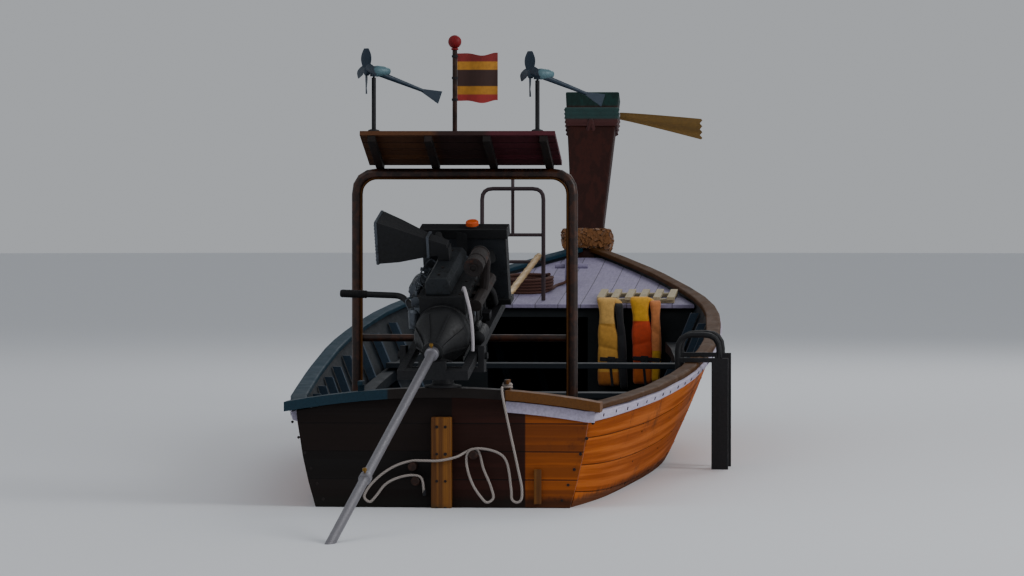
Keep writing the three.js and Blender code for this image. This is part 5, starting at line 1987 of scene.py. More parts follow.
@dataclass(frozen=True)
class VestPanel:
    """One stuffed panel of a vest. Its edges are shares of the vest's width, counted from the port side."""

    name: str
    top: Pair
    bottom: Pair
    shoulder: float
    hem: float
    seams: tuple[float, ...]
    colours: tuple[str, ...]
    changes: tuple[float, ...] = ()
    shade: str = "5a2808"
    slant: float = 0.0


VESTS = {
    1: (VestPanel("front", (0.0, 0.6), (0.08, 0.78), 1.0, 0.02, (0.2, 0.43, 0.68),
                  ("a8641a", "be8a34", "d2a456"), (0.2, 0.72), slant=0.03),
        VestPanel("side", (0.56, 0.84), (0.78, 1.03), 0.94, 0.0, (0.3, 0.62), ("0d0d13",), shade="26262c",
                  slant=-0.02)),
    2: (VestPanel("front", (-0.01, 0.66), (0.14, 0.74), 1.0, 0.03, (0.24, 0.47, 0.71),
                  ("b8580e", "c03c0a", "dca01e"), (0.26, 0.74), slant=-0.03),
        VestPanel("side", (0.62, 1.0), (0.72, 0.98), 0.96, 0.05, (0.28, 0.6), ("c8961e", "cc7c46"), (0.42,),
                  slant=0.035)),
}


@dataclass
class LifeVest:
    """A life vest at the foredeck's edge: stuffed panels with sewn channels, a collar and webbing."""

    number: int
    around: int = 30
    down: int = 72
    puff: float = 0.3
    fill: float = 0.75
    closing: float = 0.05
    crown: float = 0.45
    armhole_at: float = 0.8
    armhole_half: float = 0.13
    armhole_cut: float = 0.24
    collar: float = 0.021
    collar_route: tuple[Pair, ...] = ((0.3, 0.07), (0.34, 0.012), (0.52, 0.0), (0.72, 0.018), (0.76, 0.09))
    belt_height: float = 0.33
    webbing: tuple[tuple[float, ...], ...] = ((0.0, 0.97, -0.013, 0.004, 0.12, 0.013, 0.07),
                                              (0.001, 0.52, -0.17, 0.003, 0.44, -0.012, -0.1))
    buckle: tuple[tuple[float, ...], ...] = ((-0.006, 0.6, -0.021, 0.004, 0.36, 0.021, 0.07),
                                             (-0.008, 0.52, -0.013, -0.003, 0.44, 0.013, 0.07))
    low: Vector = field(init=False)
    high: Vector = field(init=False)

    def __post_init__(self) -> None:
        """Reads the place of the vest's solid."""
        self.low, self.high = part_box(self.solid)

    @property
    def solid(self) -> str:
        """Returns the name of the vest's solid."""
        return f"life_vest_{self.number}"

    def build(self) -> list[Piece]:
        """Makes the panels, the collar and the straps of one vest.

        Returns:
            The pieces.
        """
        panels = []
        for panel in VESTS[self.number]:
            name, replaced = f"{self.solid}_{panel.name}", ()
            shape = Shape().loft(self.stuffed(panel))
            if panel.name == "front":
                self.add_collar(shape)
                replaced = (self.solid,)
            edges = tuple(self.low.z + (self.high.z - self.low.z) * share for share in panel.changes)
            cloth = Cloth(f"{name}_cloth", panel.colours[0], panel.shade, 1300.0, 0.15,
                          bands=Bands(Axis.Z, edges, panel.colours[1:]))
            piece = shape.piece(name, cloth, "orange_cloth", replaces=replaced, smooth=80, lie=Lie.ACROSS)
            panels.append(piece)
        return [*panels, *self.straps()]

    def at(self, share: float) -> float:
        """Returns the y at a share of the vest's width from its port edge."""
        return self.high.y + (self.low.y - self.high.y) * share

    def swollen(self, panel: VestPanel, v: float) -> Pair:
        """Works out how full a panel is at a height.

        Args:
            panel: The panel, with its seams.
            v: The share of its height.

        Returns:
            How far it has closed towards its ends, and how far it swells between two seams.
        """
        end = min(1.0, min(v, 1 - v) / self.closing)
        ends = (0.0, *panel.seams, 1.0)
        below = max(e for e in ends if e <= v + 1e-9)
        above = min((e for e in ends if e > v + 1e-9), default=1.0)
        local = (v - below) / max(above - below, 1e-6)
        puffed = abs(math.sin(math.pi * min(local, 1.0))) ** self.crown if 0 < v < 1 else 0.0
        return math.sqrt(max(0.0, 1 - (1 - end) ** 2)), puffed

    def stuffed(self, panel: VestPanel) -> list[Ring]:
        """Shapes one stuffed panel, from the hem up to its shoulder.

        Args:
            panel: The panel's edges, ends and seams.

        Returns:
            Its rings.
        """
        middle, tall = (self.low.x + self.high.x) / 2, self.high.z - self.low.z
        deep = (self.high.x - self.low.x) / 2 - 0.002
        rings = []
        for v in (j / self.down for j in range(self.down + 1)):
            share = panel.hem + (panel.shoulder - panel.hem) * v
            first, last = (self.at(b + (t - b) * v) for t, b in zip(panel.top, panel.bottom))
            swell, puffed = self.swollen(panel, v)
            depth = deep * (1 - self.puff + self.puff * puffed) * (0.15 + 0.85 * swell)
            armhole = 1 - self.armhole_cut * math.exp(-(((v - self.armhole_at) / self.armhole_half) ** 2))
            half = abs(last - first) / 2 * (0.8 + 0.2 * swell) * (0.93 + 0.07 * puffed) * armhole
            bend = 0.007 * math.sin(5.2 * v + self.number)
            ring = []
            for angle in circle(self.around):
                c, s = math.cos(angle), math.sin(angle)
                creased = 1 + 0.035 * math.sin(9 * v + 5 * angle) + 0.03 * math.sin(31 * v - 3 * angle)
                across = abs(c) ** 0.62 * math.copysign(half, c)
                slant = across / half * panel.slant * v * 2 + abs(panel.slant) * 0.5
                ring.append((middle + abs(s) ** 0.8 * math.copysign(depth, s) * creased,
                             (first + last) / 2 + across + bend * (1 - v),
                             self.low.z + tall * share + slant * (1 - v)))
            rings.append(ring)
        return rings

    def add_collar(self, shape: Shape) -> None:
        """Adds the stuffed collar that joins the two panels behind the neck.

        Args:
            shape: The panel that it is sewn to.
        """
        back, top = self.high.x - self.collar - 0.003, self.high.z - self.collar - 0.002
        path = smooth_path([(back, self.at(share), top - drop) for share, drop in self.collar_route], 8)
        shape.sweep(path, lambda t: self.collar * (0.6 + 0.4 * math.sin(math.pi * t)), 14)

    def straps(self) -> list[Piece]:
        """Makes the webbing belt with its buckle and hanging ends.

        Returns:
            The webbing and the buckle.
        """
        web, buckle = self.flat_forms(self.webbing), self.flat_forms(self.buckle)
        return [
            web.piece(f"{self.solid}_webbing", WEBBING, "orange_cloth", bevel=0.0012, lie=Lie.ACROSS),
            buckle.piece(f"{self.solid}_buckle", BLACK_PLASTIC, "black_plastic", bevel=0.003),
        ]

    def flat_forms(self, rows: Iterable[Sequence[float]]) -> Shape:
        """Lays flat forms on the vest's front.

        Args:
            rows: For each form two corners, each with its depth, its share of the width and its height
                above the belt, and then how far the form leans.

        Returns:
            The forms.
        """
        front = self.low.x - 0.001
        z = self.low.z + (self.high.z - self.low.z) * self.belt_height
        shape = Shape()
        for near, first, low, far, last, high, lean in rows:
            shape.box((front + near, self.at(first), z + low), (front + far, self.at(last), z + high), lean)
        return shape


@dataclass
class ProwDress:
    """The prow post with its garland and its sash."""

    petal: float = 0.016
    density: float = 5200.0
    seed: int = 5
    fold: float = 0.0045
    crease: float = 0.002
    hem: float = 0.035
    rake: float = 0.045
    bands: int = 26
    around: int = 96
    reach: float = 0.6
    post_radius: float = 0.12
    petal_rows: tuple[float, ...] = (0.12, 0.3, 0.5, 0.7, 0.88)
    knot_leans: Pair = (-0.4, 0.5)

    def build(self) -> list[Piece]:
        """Makes the post, the garland with its flowers, and the sash with its knot."""
        return [softened("prow_post", PROW_VARNISH, 0.012, 4), softened("prow_garland", GARLAND_CLOTH, 0.006),
                self.petals(), self.sash(), self.knot()]

    def hoop(self, node: str, share: float) -> tuple[Vector, list[Vector]]:
        """Traces a band's solid at a share of its height.

        Args:
            node: The solid's node.
            share: The share of its height.

        Returns:
            The middle and the outline.
        """
        low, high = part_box(node)
        middle = (low + high) / 2 + Vector((self.rake, 0, high.z - low.z)) * (share - 0.5)
        middle.y = 0
        ring = []
        for out in (Vector((math.cos(a), math.sin(a), 0)) for a in circle(self.around)):
            met = cast(node, middle + out * self.reach, -out)
            ring.append(met[0] if met else middle + out * self.post_radius)
        return middle, ring

    def petals(self) -> Piece:
        """Grows petals all round the garland.

        Returns:
            The petals.
        """
        cover = Shape().loft([self.hoop("prow_garland", share)[1] for share in self.petal_rows])
        dress = Dress(GARLAND_CLOTH, "gold_cloth", smooth=30, lie=Lie.AROUND)
        return grown("garland_petals", new_mesh("garland_skin", cover.vertices, cover.faces), PETALS, dress,
                     Density=self.density, Radius=self.petal, Seed=self.seed)

    def sash(self) -> Piece:
        """Wraps the sash's cloth round the post with level folds.

        Returns:
            The sash.
        """
        outer, inner = [], []
        for row in range(self.bands + 1):
            middle, line = self.hoop("prow_sash", 0.02 + 0.96 * row / self.bands)
            wave = self.fold * math.sin(row * 1.9)
            ring = [p + (p - middle).normalized() * (wave + self.crease * math.sin(5 * a))
                    for p, a in zip(line, circle(self.around))]
            post = sum(p.x for p in ring) / len(ring)
            outer.append(ring)
            inner.append([p.lerp(Vector((post, 0, p.z)), self.hem) for p in ring])
        return Shape().loft([*outer, *reversed(inner)], closed=True).piece(
            "sash_cloth", SASH_CLOTH, "green_cloth", replaces=("prow_sash",), smooth=70, lie=Lie.AROUND)

    def knot(self) -> Piece:
        """Ties the sash with a knot on the post's aft face.

        Returns:
            The knot.
        """
        aft = min(self.hoop("prow_sash", 0.5)[1], key=lambda p: p.x)
        shape = Shape()
        for lean in self.knot_leans:
            path = [(aft.x + 0.004, 0.026 * math.sin(lean) * t, aft.z + 0.03 - 0.05 * t) for t in range(3)]
            shape.sweep(smooth_path(path, 6), lambda t: 0.012 + 0.006 * math.sin(math.pi * t))
        return shape.piece("sash_knot", SASH_CLOTH, "green_cloth", smooth=70, lie=Lie.AROUND)


# Deck, seats and the things on board


@dataclass
class Deck:
    """The foredeck, the inside of the hull and the loose gear."""

    pole_nodes: int = 15
    pole_radius: float = 0.0205
    pole_joint: tuple[Pair, ...] = ((-0.03, 0.95), (-0.006, 1.0), (0.0, 1.06), (0.004, 0.97), (0.03, 0.93))
    can_corner: float = 0.026
    can_tall: float = 0.4
    can_rows: tuple[Pair, ...] = ((0, 0.012), (0.012, 0.003), (0.06, 0.0), (0.19, 0.002), (0.21, 0.008),
                                  (0.23, 0.002), (0.34, 0.0), (0.385, 0.004), (0.4, 0.018))
    can_grip: tuple[Pair, ...] = ((-0.085, -0.004), (-0.07, 0.03), (0.0, 0.034), (0.07, 0.03),
                                  (0.085, -0.004))
    cap: tuple[Pair, ...] = ((0.0, 0.024), (0.004, 0.026), (0.026, 0.026), (0.03, 0.022))
    cap_at: float = 0.128
    grip_radius: float = 0.009
    rail_window: float = 0.42
    first_bolt: float = -4.7
    bolt_pitch: float = 0.3
    bolt_count: int = 30

    def build(self) -> list[Piece]:
        """Rounds the edges of every timber inside the boat, and makes the gear.

        Returns:
            The pieces.
        """
        timbers = softened_all({
            DARK_TIMBER: "keel", RIB_PAINT: "frames_aft frames_fore",
            SOLE_PAINT: "sole_boards stern_platform",
            INSIDE_PAINT: "seat_riser_port seat_riser_starboard thwart_1 thwart_2 thwart_3 thwart_4",
            DECK_PAINT: "foredeck", BULKHEAD_PAINT: "bulkhead", GRATING_PAINT: "deck_grating",
            TEAL_PAINT: "gunwale_port", GOLD_PAINT: "gunwale_starboard",
            PALE_PAINT: "rub_rail_port rub_rail_starboard",
        })
        return [*timbers, softened("fore_hoop", HOOP_IRON, 0.0), softened("boarding_ladder", IRON, 0.002),
                self.pole(), *self.fuel_can(), self.rail_bolts()]

    def pole(self) -> Piece:
        """Makes the bamboo pole, with its joints.

        Returns:
            The pole.
        """
        low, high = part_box("punt_pole")
        inset = Vector((0.002, 0.022, 0.022))
        start, way = low + inset, high - low - inset * 2
        total, radius = way.length, self.pole_radius
        profile = [(0.0, radius * 0.86)]
        for at in (total * (i + 0.5) / self.pole_nodes for i in range(self.pole_nodes)):
            profile += [(at + off, radius * size) for off, size in self.pole_joint]
        profile.append((total, radius * 0.84))
        return Shape().turned(profile, start, way, 20).piece("bamboo_pole", BAMBOO, "bamboo",
                                                             replaces=("punt_pole",), smooth=60)

    def fuel_can(self) -> list[Piece]:
        """Makes the fuel can with its pressed ribs, handle and cap.

        Returns:
            The can and its cap.
        """
        low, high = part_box("fuel_can")
        middle, half, corner = (low + high) / 2, (high - low) / 2, self.can_corner
        top = low.z + self.can_tall
        rings = []
        for z, inset in self.can_rows:
            ring = []
            for x, y, first in ((1, 1, 0), (-1, 1, 90), (-1, -1, 180), (1, -1, 270)):
                cx, cy = (middle[i] + way * (half[i] - inset - corner) for i, way in enumerate((x, y)))
                ring += [(cx + corner * math.cos(a), cy + corner * math.sin(a), low.z + z)
                         for a in (math.radians(first + step) for step in (0, 30, 60, 90))]
            rings.append(ring)
        grip = smooth_path([(middle.x + x, middle.y, top + z) for x, z in self.can_grip], 8)
        can = Shape().loft(rings).sweep(grip, lambda _: self.grip_radius, 10)
        cap = Shape().turned(self.cap, (middle.x + self.cap_at, middle.y, top), sides=22)
        return [can.piece("fuel_can_body", RED_PLASTIC, "can_plastic", replaces=("fuel_can",), smooth=50),
                cap.piece("fuel_can_cap", BLACK_PLASTIC, "black_plastic", bevel=0.001)]

    def rail_bolts(self) -> Piece:
        """Puts a bolt through each rub rail at every second rib.

        Returns:
            The bolts.
        """
        places = []
        for side, node in ((1, "rub_rail_port"), (-1, "rub_rail_starboard")):
            points = [v.co for v in frame["nodes"][node].data.vertices]
            for x in (self.first_bolt + self.bolt_pitch * i for i in range(self.bolt_count)):
                near = [p.z for p in points if abs(p.x - x) < self.rail_window]
                met = cast(node, (x, side * 3.0, (min(near) + max(near)) / 2), (0, -side, 0))
                if met:
                    places.append((met[0] + met[1] * 0.001, met[1]))
        return studs("rail_bolts", places, 0.009, 0.004, Dress(RUSTED, "iron"))


# Arch, roof, flag staff and wind vanes


@dataclass
class Arch:
    """The arch over the stern with its roof, staff and poles."""

    x: float = -3.75
    half: float = 0.58
    top: float = 1.72
    corner: float = 0.11
    tube: float = 0.03
    foot: float = 0.36
    bearer_wide: float = 0.07
    edge_inset: float = 0.02
    bead: float = 0.006
    ball: float = 0.036
    ball_neck: tuple[Pair, ...] = ((-1.25, 0.015), (-1.15, 0.021), (-0.96, 0.018))

    def build(self) -> list[Piece]:
        """Makes the arch and all that stands on it."""
        return [softened("stern_arch", ARCH_VARNISH, 0.002), self.roof(),
                softened("flag_staff", DARK_TIMBER, 0.002), softened("vane_pole_port", IRON, 0.001),
                softened("vane_pole_starboard", IRON, 0.001), self.edge(), self.staff_ball()]

    def roof(self) -> Piece:
        """Rounds the roof's edges and gives its four bearers a darker timber than its boards.

        Returns:
            The roof.
        """
        board = softened("roof_board", ROOF_PAINT)
        mesh = board.data
        mesh.materials.append(BEARER_TIMBER.material())
        low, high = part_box("roof_board")
        for face in mesh.polygons:
            ys = [mesh.vertices[i].co.y for i in face.vertices]
            from_edge = min(high.y - max(ys), min(ys) - low.y)
            if max(ys) - min(ys) < self.bearer_wide and from_edge > self.edge_inset:
                face.material_index = 1
        return board

    def edge(self) -> Piece:
        """Makes the golden bead that runs along the arch's tube, on its inner aft side.

        Returns:
            The bead.
        """
        off = (self.tube + self.bead - GAP) * math.sqrt(0.5)
        aft, half, top, corner = self.x - off, self.half - off, self.top - off, self.corner - off
        path = [Vector((aft, half, self.foot + (top - corner - self.foot) * i / 12)) for i in range(12)]
        path += [Vector((aft, half - corner + corner * math.cos(a), top - corner + corner * math.sin(a)))
                 for a in (math.radians(10 * k) for k in range(10))]
        path += [other_side(p) for p in reversed(path)]
        return runs("arch_bead", [path], self.bead, Dress(GOLD_PAINT, "gold_paint", smooth=70))

    def staff_ball(self) -> Piece:
        """Makes the red ball on top of the flag staff, with the cap under it.

        Returns:
            The ball.
        """
        low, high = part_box("flag_staff")
        size = self.ball - 0.0002
        profile = [(size * at, radius) for at, radius in self.ball_neck]
        profile += [(-size * math.cos(a), size * math.sin(a)) for a in circle(36)[1:18]]
        middle = ((low.x + high.x) / 2, (low.y + high.y) / 2, high.z - self.ball)
        shape = Shape().turned(profile, middle, sides=32)
        return shape.piece("staff_ball", RED_PAINT, "red_paint", smooth=60)


@dataclass
class Vane:
    """One wind vane: a pod that turns on its pole, and a rotor that spins on the pod."""

    side: str
    pod: Body
    spinner: Body
    blades: int = 4
    stations: int = 9
    root: float = 0.02
    tip: float = 0.121
    camber: float = 0.004
    half: float = 0.03
    pitch: float = 0.62
    twist: float = 0.36
    section: tuple[Pair, ...] = ((-1, 0), (-0.5, 0.0022), (0, 0.0028), (0.5, 0.002), (1, 0), (0.5, -0.0004),
                                 (0, 0.0), (-0.5, 0.0))
    pod_profile: tuple[Pair, ...] = ((-0.135, 0.006), (-0.13, 0.016), (-0.1, 0.026), (-0.06, 0.03),
                                     (-0.03, 0.026), (-0.02, 0.014))
    hub_profile: tuple[Pair, ...] = ((-0.013, 0.02), (-0.009, 0.024), (0.008, 0.024), (0.013, 0.017),
                                     (0.0148, 0.006))
    boom: tuple[Point, Point] = ((0.0, -0.012, -0.07), (0.0, -0.1023, -0.3222))

    def build(self) -> list[Piece]:
        """Makes the fin, the pod with its sleeved boom, and the rotor.

        Returns:
            The pieces.
        """
        name, place = f"vane_{self.side}", self.place()
        start, way = Vector(self.boom[0]), Vector(self.boom[1]) - Vector(self.boom[0])
        pod = Shape(place, self.pod).turned(self.pod_profile, (0, 0, 0))
        boom = Shape(place, self.pod).turned([(0.0, 0.016), (way.length, 0.009)], start, way, 20)
        rotor = Shape(place, self.spinner).turned(self.hub_profile, (0, 0, 0), sides=28)
        rotor.around(self.blades, Axis.Z, (0, 0, 0), self.blade())
        return [
            softened(name, VANE_PAINT, 0.002),
            pod.piece(f"{name}_pod", POD_PAINT, "navy_paint", smooth=50),
            boom.piece(f"{name}_boom", VANE_PAINT, "navy_paint", smooth=50),
            rotor.piece(f"rotor_{self.side}", VANE_PAINT, "navy_paint", replaces=(f"vane_rotor_{self.side}",),
                        smooth=40),
        ]

    def place(self) -> Matrix:
        """Finds the rotor's frame.

        Returns:
            The frame, with z along its shaft.
        """
        spin = joint(f"rotor_{self.side}_spin")
        up, along = Vector(UP), Vector(spin["axis"]).normalized()
        return frame_of(up.cross(along).normalized(), up, along, spin["pos_m"])

    def blade(self) -> list[Ring]:
        """Shapes one cambered blade.

        Returns:
            Its rings, from the hub to the tip.
        """
        rings = []
        for share in (k / (self.stations - 1) for k in range(self.stations)):
            out = self.root + (self.tip - self.root) * share
            half = self.half * math.sin(math.pi * (0.24 + 0.62 * share)) * (1 + 0.6 * share)
            angle = self.pitch - self.twist * share
            c, s = math.cos(angle), math.sin(angle)
            flat = [(half * chord + self.camber, thick + self.camber * (1 - chord**2))
                    for chord, thick in self.section]
            rings.append([(out, across * c - off * s, across * s + off * c) for across, off in flat])
        return rings


# The engine


@dataclass(frozen=True)
class Turning:
    """A turned form that stands in one or more places on the engine."""

    profile: tuple[Pair, ...]
    places: tuple[Point, ...]
    axis: Point = FORE
    sides: int = 28


@dataclass(frozen=True)
class TurnedPart:
    """A piece of the engine that is turned forms alone."""

    name: str
    finish: Finish
    slot: str
    forms: tuple[Turning, ...]
    smooth: float = 40.0
    replaces: tuple[str, ...] = ()


@dataclass
class Engine:
    """The diesel engine on its swinging frame, with the long tail, built in the engine's own frame."""

    aft: float = 0.062
    fore: float = 0.615
    half: float = 0.122
    top: float = 0.3
    shaft: float = 0.11
    upper: float = 0.26
    radiator: float = 0.76
    intake: Pair = (0.4, 0.5066)
    pump_side: float = 0.156
    pump_pitch: float = 0.04
    pulley_at: float = 0.0083
    fan_at: float = 0.0623
    rim: Pair = (0.0445, 0.1395)
    first_rib: float = 0.07
    rib_pitch: float = 0.103
    rib_count: int = 5
    belt_steps: int = 48
    belt_thick: float = 0.009
    fan_blades: int = 5
    slots: int = 14
    slots_out: float = 0.054
    housing_ribs: int = 8
    propeller_at: float = -4.046
    propeller_blades: int = 3
    place: Matrix = field(default_factory=engine_place)

    def shape(self, body: Body = Body.ENGINE) -> Shape:
        """Returns an empty form in the engine's frame."""
        return Shape(self.place, body)

    def build(self) -> list[Piece]:
        """Makes the engine's pieces from the mounting to the propeller.

        Returns:
            The pieces.
        """
        castings = softened_all({
            IRON: "engine_frame skeg tiller swivel_fork", CAST_BLACK: "engine_block air_cleaner radiator",
            COVER_GREY: "valve_cover", RUSTED: "exhaust",
        })
        return [*castings, softened("swivel_socket", IRON, 0.001), self.castings(),
                *map(self.turned_part, self.turned_parts()), *self.all_bolts(), self.pump(), self.pipes(),
                self.intake_bands(), *self.slats(), *self.hoses(), self.belt(), self.fan(), self.alternator(),
                self.housing(), self.propeller()]

    def castings(self) -> Piece:
        """Adds the block's ribs, its flanges at the sump and the head, and the mounting feet.

        Returns:
            The castings.
        """
        inset, lip, rib = 0.004, 0.007, 0.006
        shape, low, high = self.shape(), self.aft + inset, self.fore - inset
        for z, grow in ((0.046, 0.008), (0.292, 0.006), (0.212, 0.004)):
            shape.box((low, -self.half - grow, z - lip), (high, self.half + grow, z + lip))
        shape.box((low, -0.1, -0.028), (high, 0.1, -0.018))
        for x in (self.aft + self.first_rib + self.rib_pitch * k for k in range(self.rib_count)):
            for side in (-1, 1):
                inner, outer = sorted((side * (self.half - inset), side * (self.half + lip)))
                shape.box((x - rib, inner, 0.06), (x + rib, outer, 0.2))
        return shape.piece("block_castings", CAST_BLACK, "engine_metal", bevel=0.003)

    def turned_part(self, part: TurnedPart) -> Piece:
        """Makes a piece of turned forms.

        Args:
            part: The piece's forms and finish.

        Returns:
            The piece.
        """
        shape = self.shape()
        for form in part.forms:
            for place in form.places:
                shape.turned(form.profile, place, form.axis, form.sides)
        return shape.piece(part.name, part.finish, part.slot, replaces=part.replaces, smooth=part.smooth)

    def turned_parts(self) -> list[TurnedPart]:
        """Lists the core plugs, starter, silencer rings, caps, pulleys, tail tube and tiller's grip.

        Returns:
            The parts.
        """
        plug = ((0, 0.019), (0.004, 0.019), (0.005, 0.016), (0.003, 0.013), (0.003, 0.0))
        face, along = self.half + 0.0004, (0.18, 0.285, 0.388, 0.49)
        starter, side = (0.09, -self.half - 0.045, 0.06), -self.half - 0.041
        ring = ((-0.006, 0.0478), (-0.005, 0.0505), (0.005, 0.0505), (0.006, 0.0478))
        cup = ((-0.002, 0.006), (0.008, 0.006), (0.009, 0.011), (0.02, 0.011), (0.022, 0.008))
        collars = ((-0.281, 0.036), (-2.035, 0.031), (-3.935, 0.034))
        cups = tuple((x, 0, self.shaft + radius) for x, radius in collars)
        grip, grip_way = (0.8, 0.555, 0.0507), (0.0, 0.1435, 0.0051)
        ridge = ((0.0, 0.0212), (0.006, 0.0212), (0.0075, 0.0196), (0.0095, 0.0196))
        ridges = ((0.006 + 0.0112 * k + at, radius) for k in range(12) for at, radius in ridge)
        return [
            TurnedPart("core_plugs", ALLOY, "grey_metal", tuple(
                Turning(plug, tuple((x, way * face, 0.135) for x in along), (0, way, 0), 20)
                for way in (-1, 1))),
            TurnedPart("starter_motor", CAST_BLACK, "engine_metal", (
                Turning(((0, 0.02), (0.012, 0.038), (0.14, 0.04), (0.15, 0.032), (0.165, 0.03)), (starter,)),
                Turning(((0, 0.012), (0.008, 0.019), (0.075, 0.019), (0.085, 0.012)), ((0.1, side, 0.116),),
                        sides=20))),
            TurnedPart("silencer_rings", RUSTED, "iron", (
                Turning(ring, tuple((x, -0.212, 0.522) for x in (-0.112, -0.03, 0.078))),
                Turning(((0.0, 0.02), (0.004, 0.021), (0.0088, 0.021), (0.0088, 0.017), (0.002, 0.016)),
                        ((-0.1202, -0.212, 0.522),), AFT, 22))),
            TurnedPart("radiator_cap", ORANGE_PLASTIC, "orange_cloth", (
                Turning(((0.0, 0.026), (0.004, 0.034), (0.022, 0.034), (0.028, 0.028), (0.0292, 0.012)),
                        ((self.radiator, -0.044, 0.4505),), UP),)),
            TurnedPart("pulleys", ALLOY, "grey_metal", tuple(
                Turning(((-0.008, 0.028), (0.0, 0.03), (0.001, size * 0.82), (0.002, size), (0.006, size),
                         (0.012, size - 0.012), (0.02, size - 0.012), (0.026, size), (0.0317, size),
                         (0.0317, size * 0.6), (0.026, size * 0.55), (0.026, 0.026), (0.036, 0.02)),
                        ((self.fore + self.pulley_at, 0, z),), sides=40)
                for z, size in ((self.shaft, 0.078), (self.upper, 0.066))), 35, ("belt_drive",)),
            TurnedPart("tail_tube_dressed", TAIL_STEEL, "tube_metal", (
                Turning(((0.262, 0.022), (0.262, 0.0355), (0.266, 0.036), (0.296, 0.036), (0.3, 0.033),
                         (0.304, 0.0238), (2.009, 0.0238), (2.012, 0.03), (2.016, 0.031), (2.054, 0.031),
                         (2.058, 0.03), (2.062, 0.0238), (3.888, 0.0238), (3.893, 0.032), (3.9, 0.034),
                         (3.976, 0.034), (3.98, 0.031), (3.98, 0.0165), (3.92, 0.0165), (3.92, 0.001)),
                        ((0, 0, self.shaft),), AFT, 32),), 35, ("tail_tube",)),
            TurnedPart("grease_cups", BRONZE, "bronze", (Turning(cup, cups, UP, 14),), 35),
            TurnedPart("tiller_grip", RUBBER, "black_plastic", (
                Turning(((0.0, 0.0175), *ridges, (Vector(grip_way).length, 0.018)), (grip,), grip_way, 24),
            ), 35),
        ]

    def bolts(self, name: str, spots: Iterable[tuple[Point, Point]], radius: float, height: float) -> Piece:
        """Puts six-sided bolt heads on the engine.

        Args:
            name: The piece's name.
            spots: Each head's place and direction, in the engine's frame.
            radius: The heads' radius.
            height: The heads' height.

        Returns:
            The bolts.
        """
        turn = self.place.to_3x3()
        places = [(self.place @ Vector(at), turn @ Vector(out)) for at, out in spots]
        return studs(name, places, radius, height, Dress(RUSTED, "iron", Body.ENGINE), 6)

    def all_bolts(self) -> list[Piece]:
        """Puts bolts on the head, the covers, the flanges, the exhaust's ports and the bell housing's rim.

        Returns:
            The bolts, as three pieces.
        """
        spots = [((x, side * (self.half + 0.006), 0.292), (0, side, 0)) for side in (-1, 1)
                 for x in (0.09, 0.17, 0.25, 0.33, 0.41, 0.49, 0.58)]
        spots += [((x, 0.024, self.top + 0.0935), UP) for x in (0.14, 0.25, 0.52)]
        spots += [((x, side * self.half * 0.72, self.top + 0.001), UP) for side in (-1, 1)
                  for x in (0.1, 0.2, 0.3, 0.4, 0.5, 0.58)]
        spots += [((self.radiator + 0.047, y, z), FORE) for y in (-0.22, -0.11, 0.0, 0.11, 0.22)
                  for z in (0.041, 0.42)]
        ports = [((x + dx, -self.half - 0.007, 0.23), (0, -1, 0)) for x in (0.15, 0.27, 0.4, 0.52)
                 for dx in (-0.031, 0.031)]
        at, radius = self.rim
        rim = [((at, radius * math.cos(a), self.shaft + radius * math.sin(a)), AFT) for a in circle(12)]
        return [self.bolts("engine_bolts", spots, 0.0075, 0.009),
                self.bolts("manifold_bolts", ports, 0.008, 0.012),
                self.bolts("housing_bolts", rim, 0.0075, 0.01)]

    def pump(self) -> Piece:
        """Makes the injection pump on the port side, with the fuel and oil filters beside it.

        Returns:
            The pump.
        """
        y, face = self.pump_side, self.half
        shape = self.shape().box((0.16, face, 0.21), (0.33, y + 0.028, 0.262))
        for k in range(4):
            shape.turned([(0.0, 0.011), (0.028, 0.011)], (0.185 + self.pump_pitch * k, y, 0.262), sides=12)
        for x, z, radius, tall in ((0.115, 0.16, 0.034, 0.11), (0.385, 0.075, 0.04, 0.1)):
            low, high = z - tall / 2, z + tall / 2
            shape.turned([(0, radius * 0.8), (0.006, radius), (tall - 0.014, radius), (tall, radius * 0.7)],
                         (x, face + radius + 0.004, low))
            shape.box((x - 0.02, face, high - 0.02), (x + 0.02, face + radius, high + 0.012))
        return shape.piece("injection_pump", ALLOY, "grey_metal", bevel=0.002)

    def pipes(self) -> Piece:
        """Runs the four injection pipes, the leak-off pipe and the fuel line.

        Returns:
            The pipes.
        """
        y, top, lines = self.pump_side, self.top, []
        for k in range(4):
            start = Vector((0.185 + self.pump_pitch * k, y, 0.286))
            end = Vector((0.14 + 0.125 * k, 0.112, top + 0.03))
            lines.append(smooth_path([start, start + Vector((0, 0.003, 0.034)),
                                      start.lerp(end, 0.45) + Vector((0, 0.014, 0.045)),
                                      end + Vector((0, 0.022, 0.016)), end], 7))
        lines.append(smooth_path([(0.115, y + 0.03, 0.2), (0.13, y + 0.05, 0.25), (0.15, y + 0.03, 0.262),
                                  (0.17, y + 0.01, 0.256)], 7))
        lines.append(smooth_path([(0.14, 0.1, top + 0.02), (0.3, 0.108, top + 0.05),
                                  (0.5, 0.1, top + 0.02), (0.58, 0.09, top + 0.01)], 8))
        return runs("fuel_pipes", lines, 0.0035, Dress(ALLOY, "grey_metal", Body.ENGINE, smooth=70),
                    place=self.place)

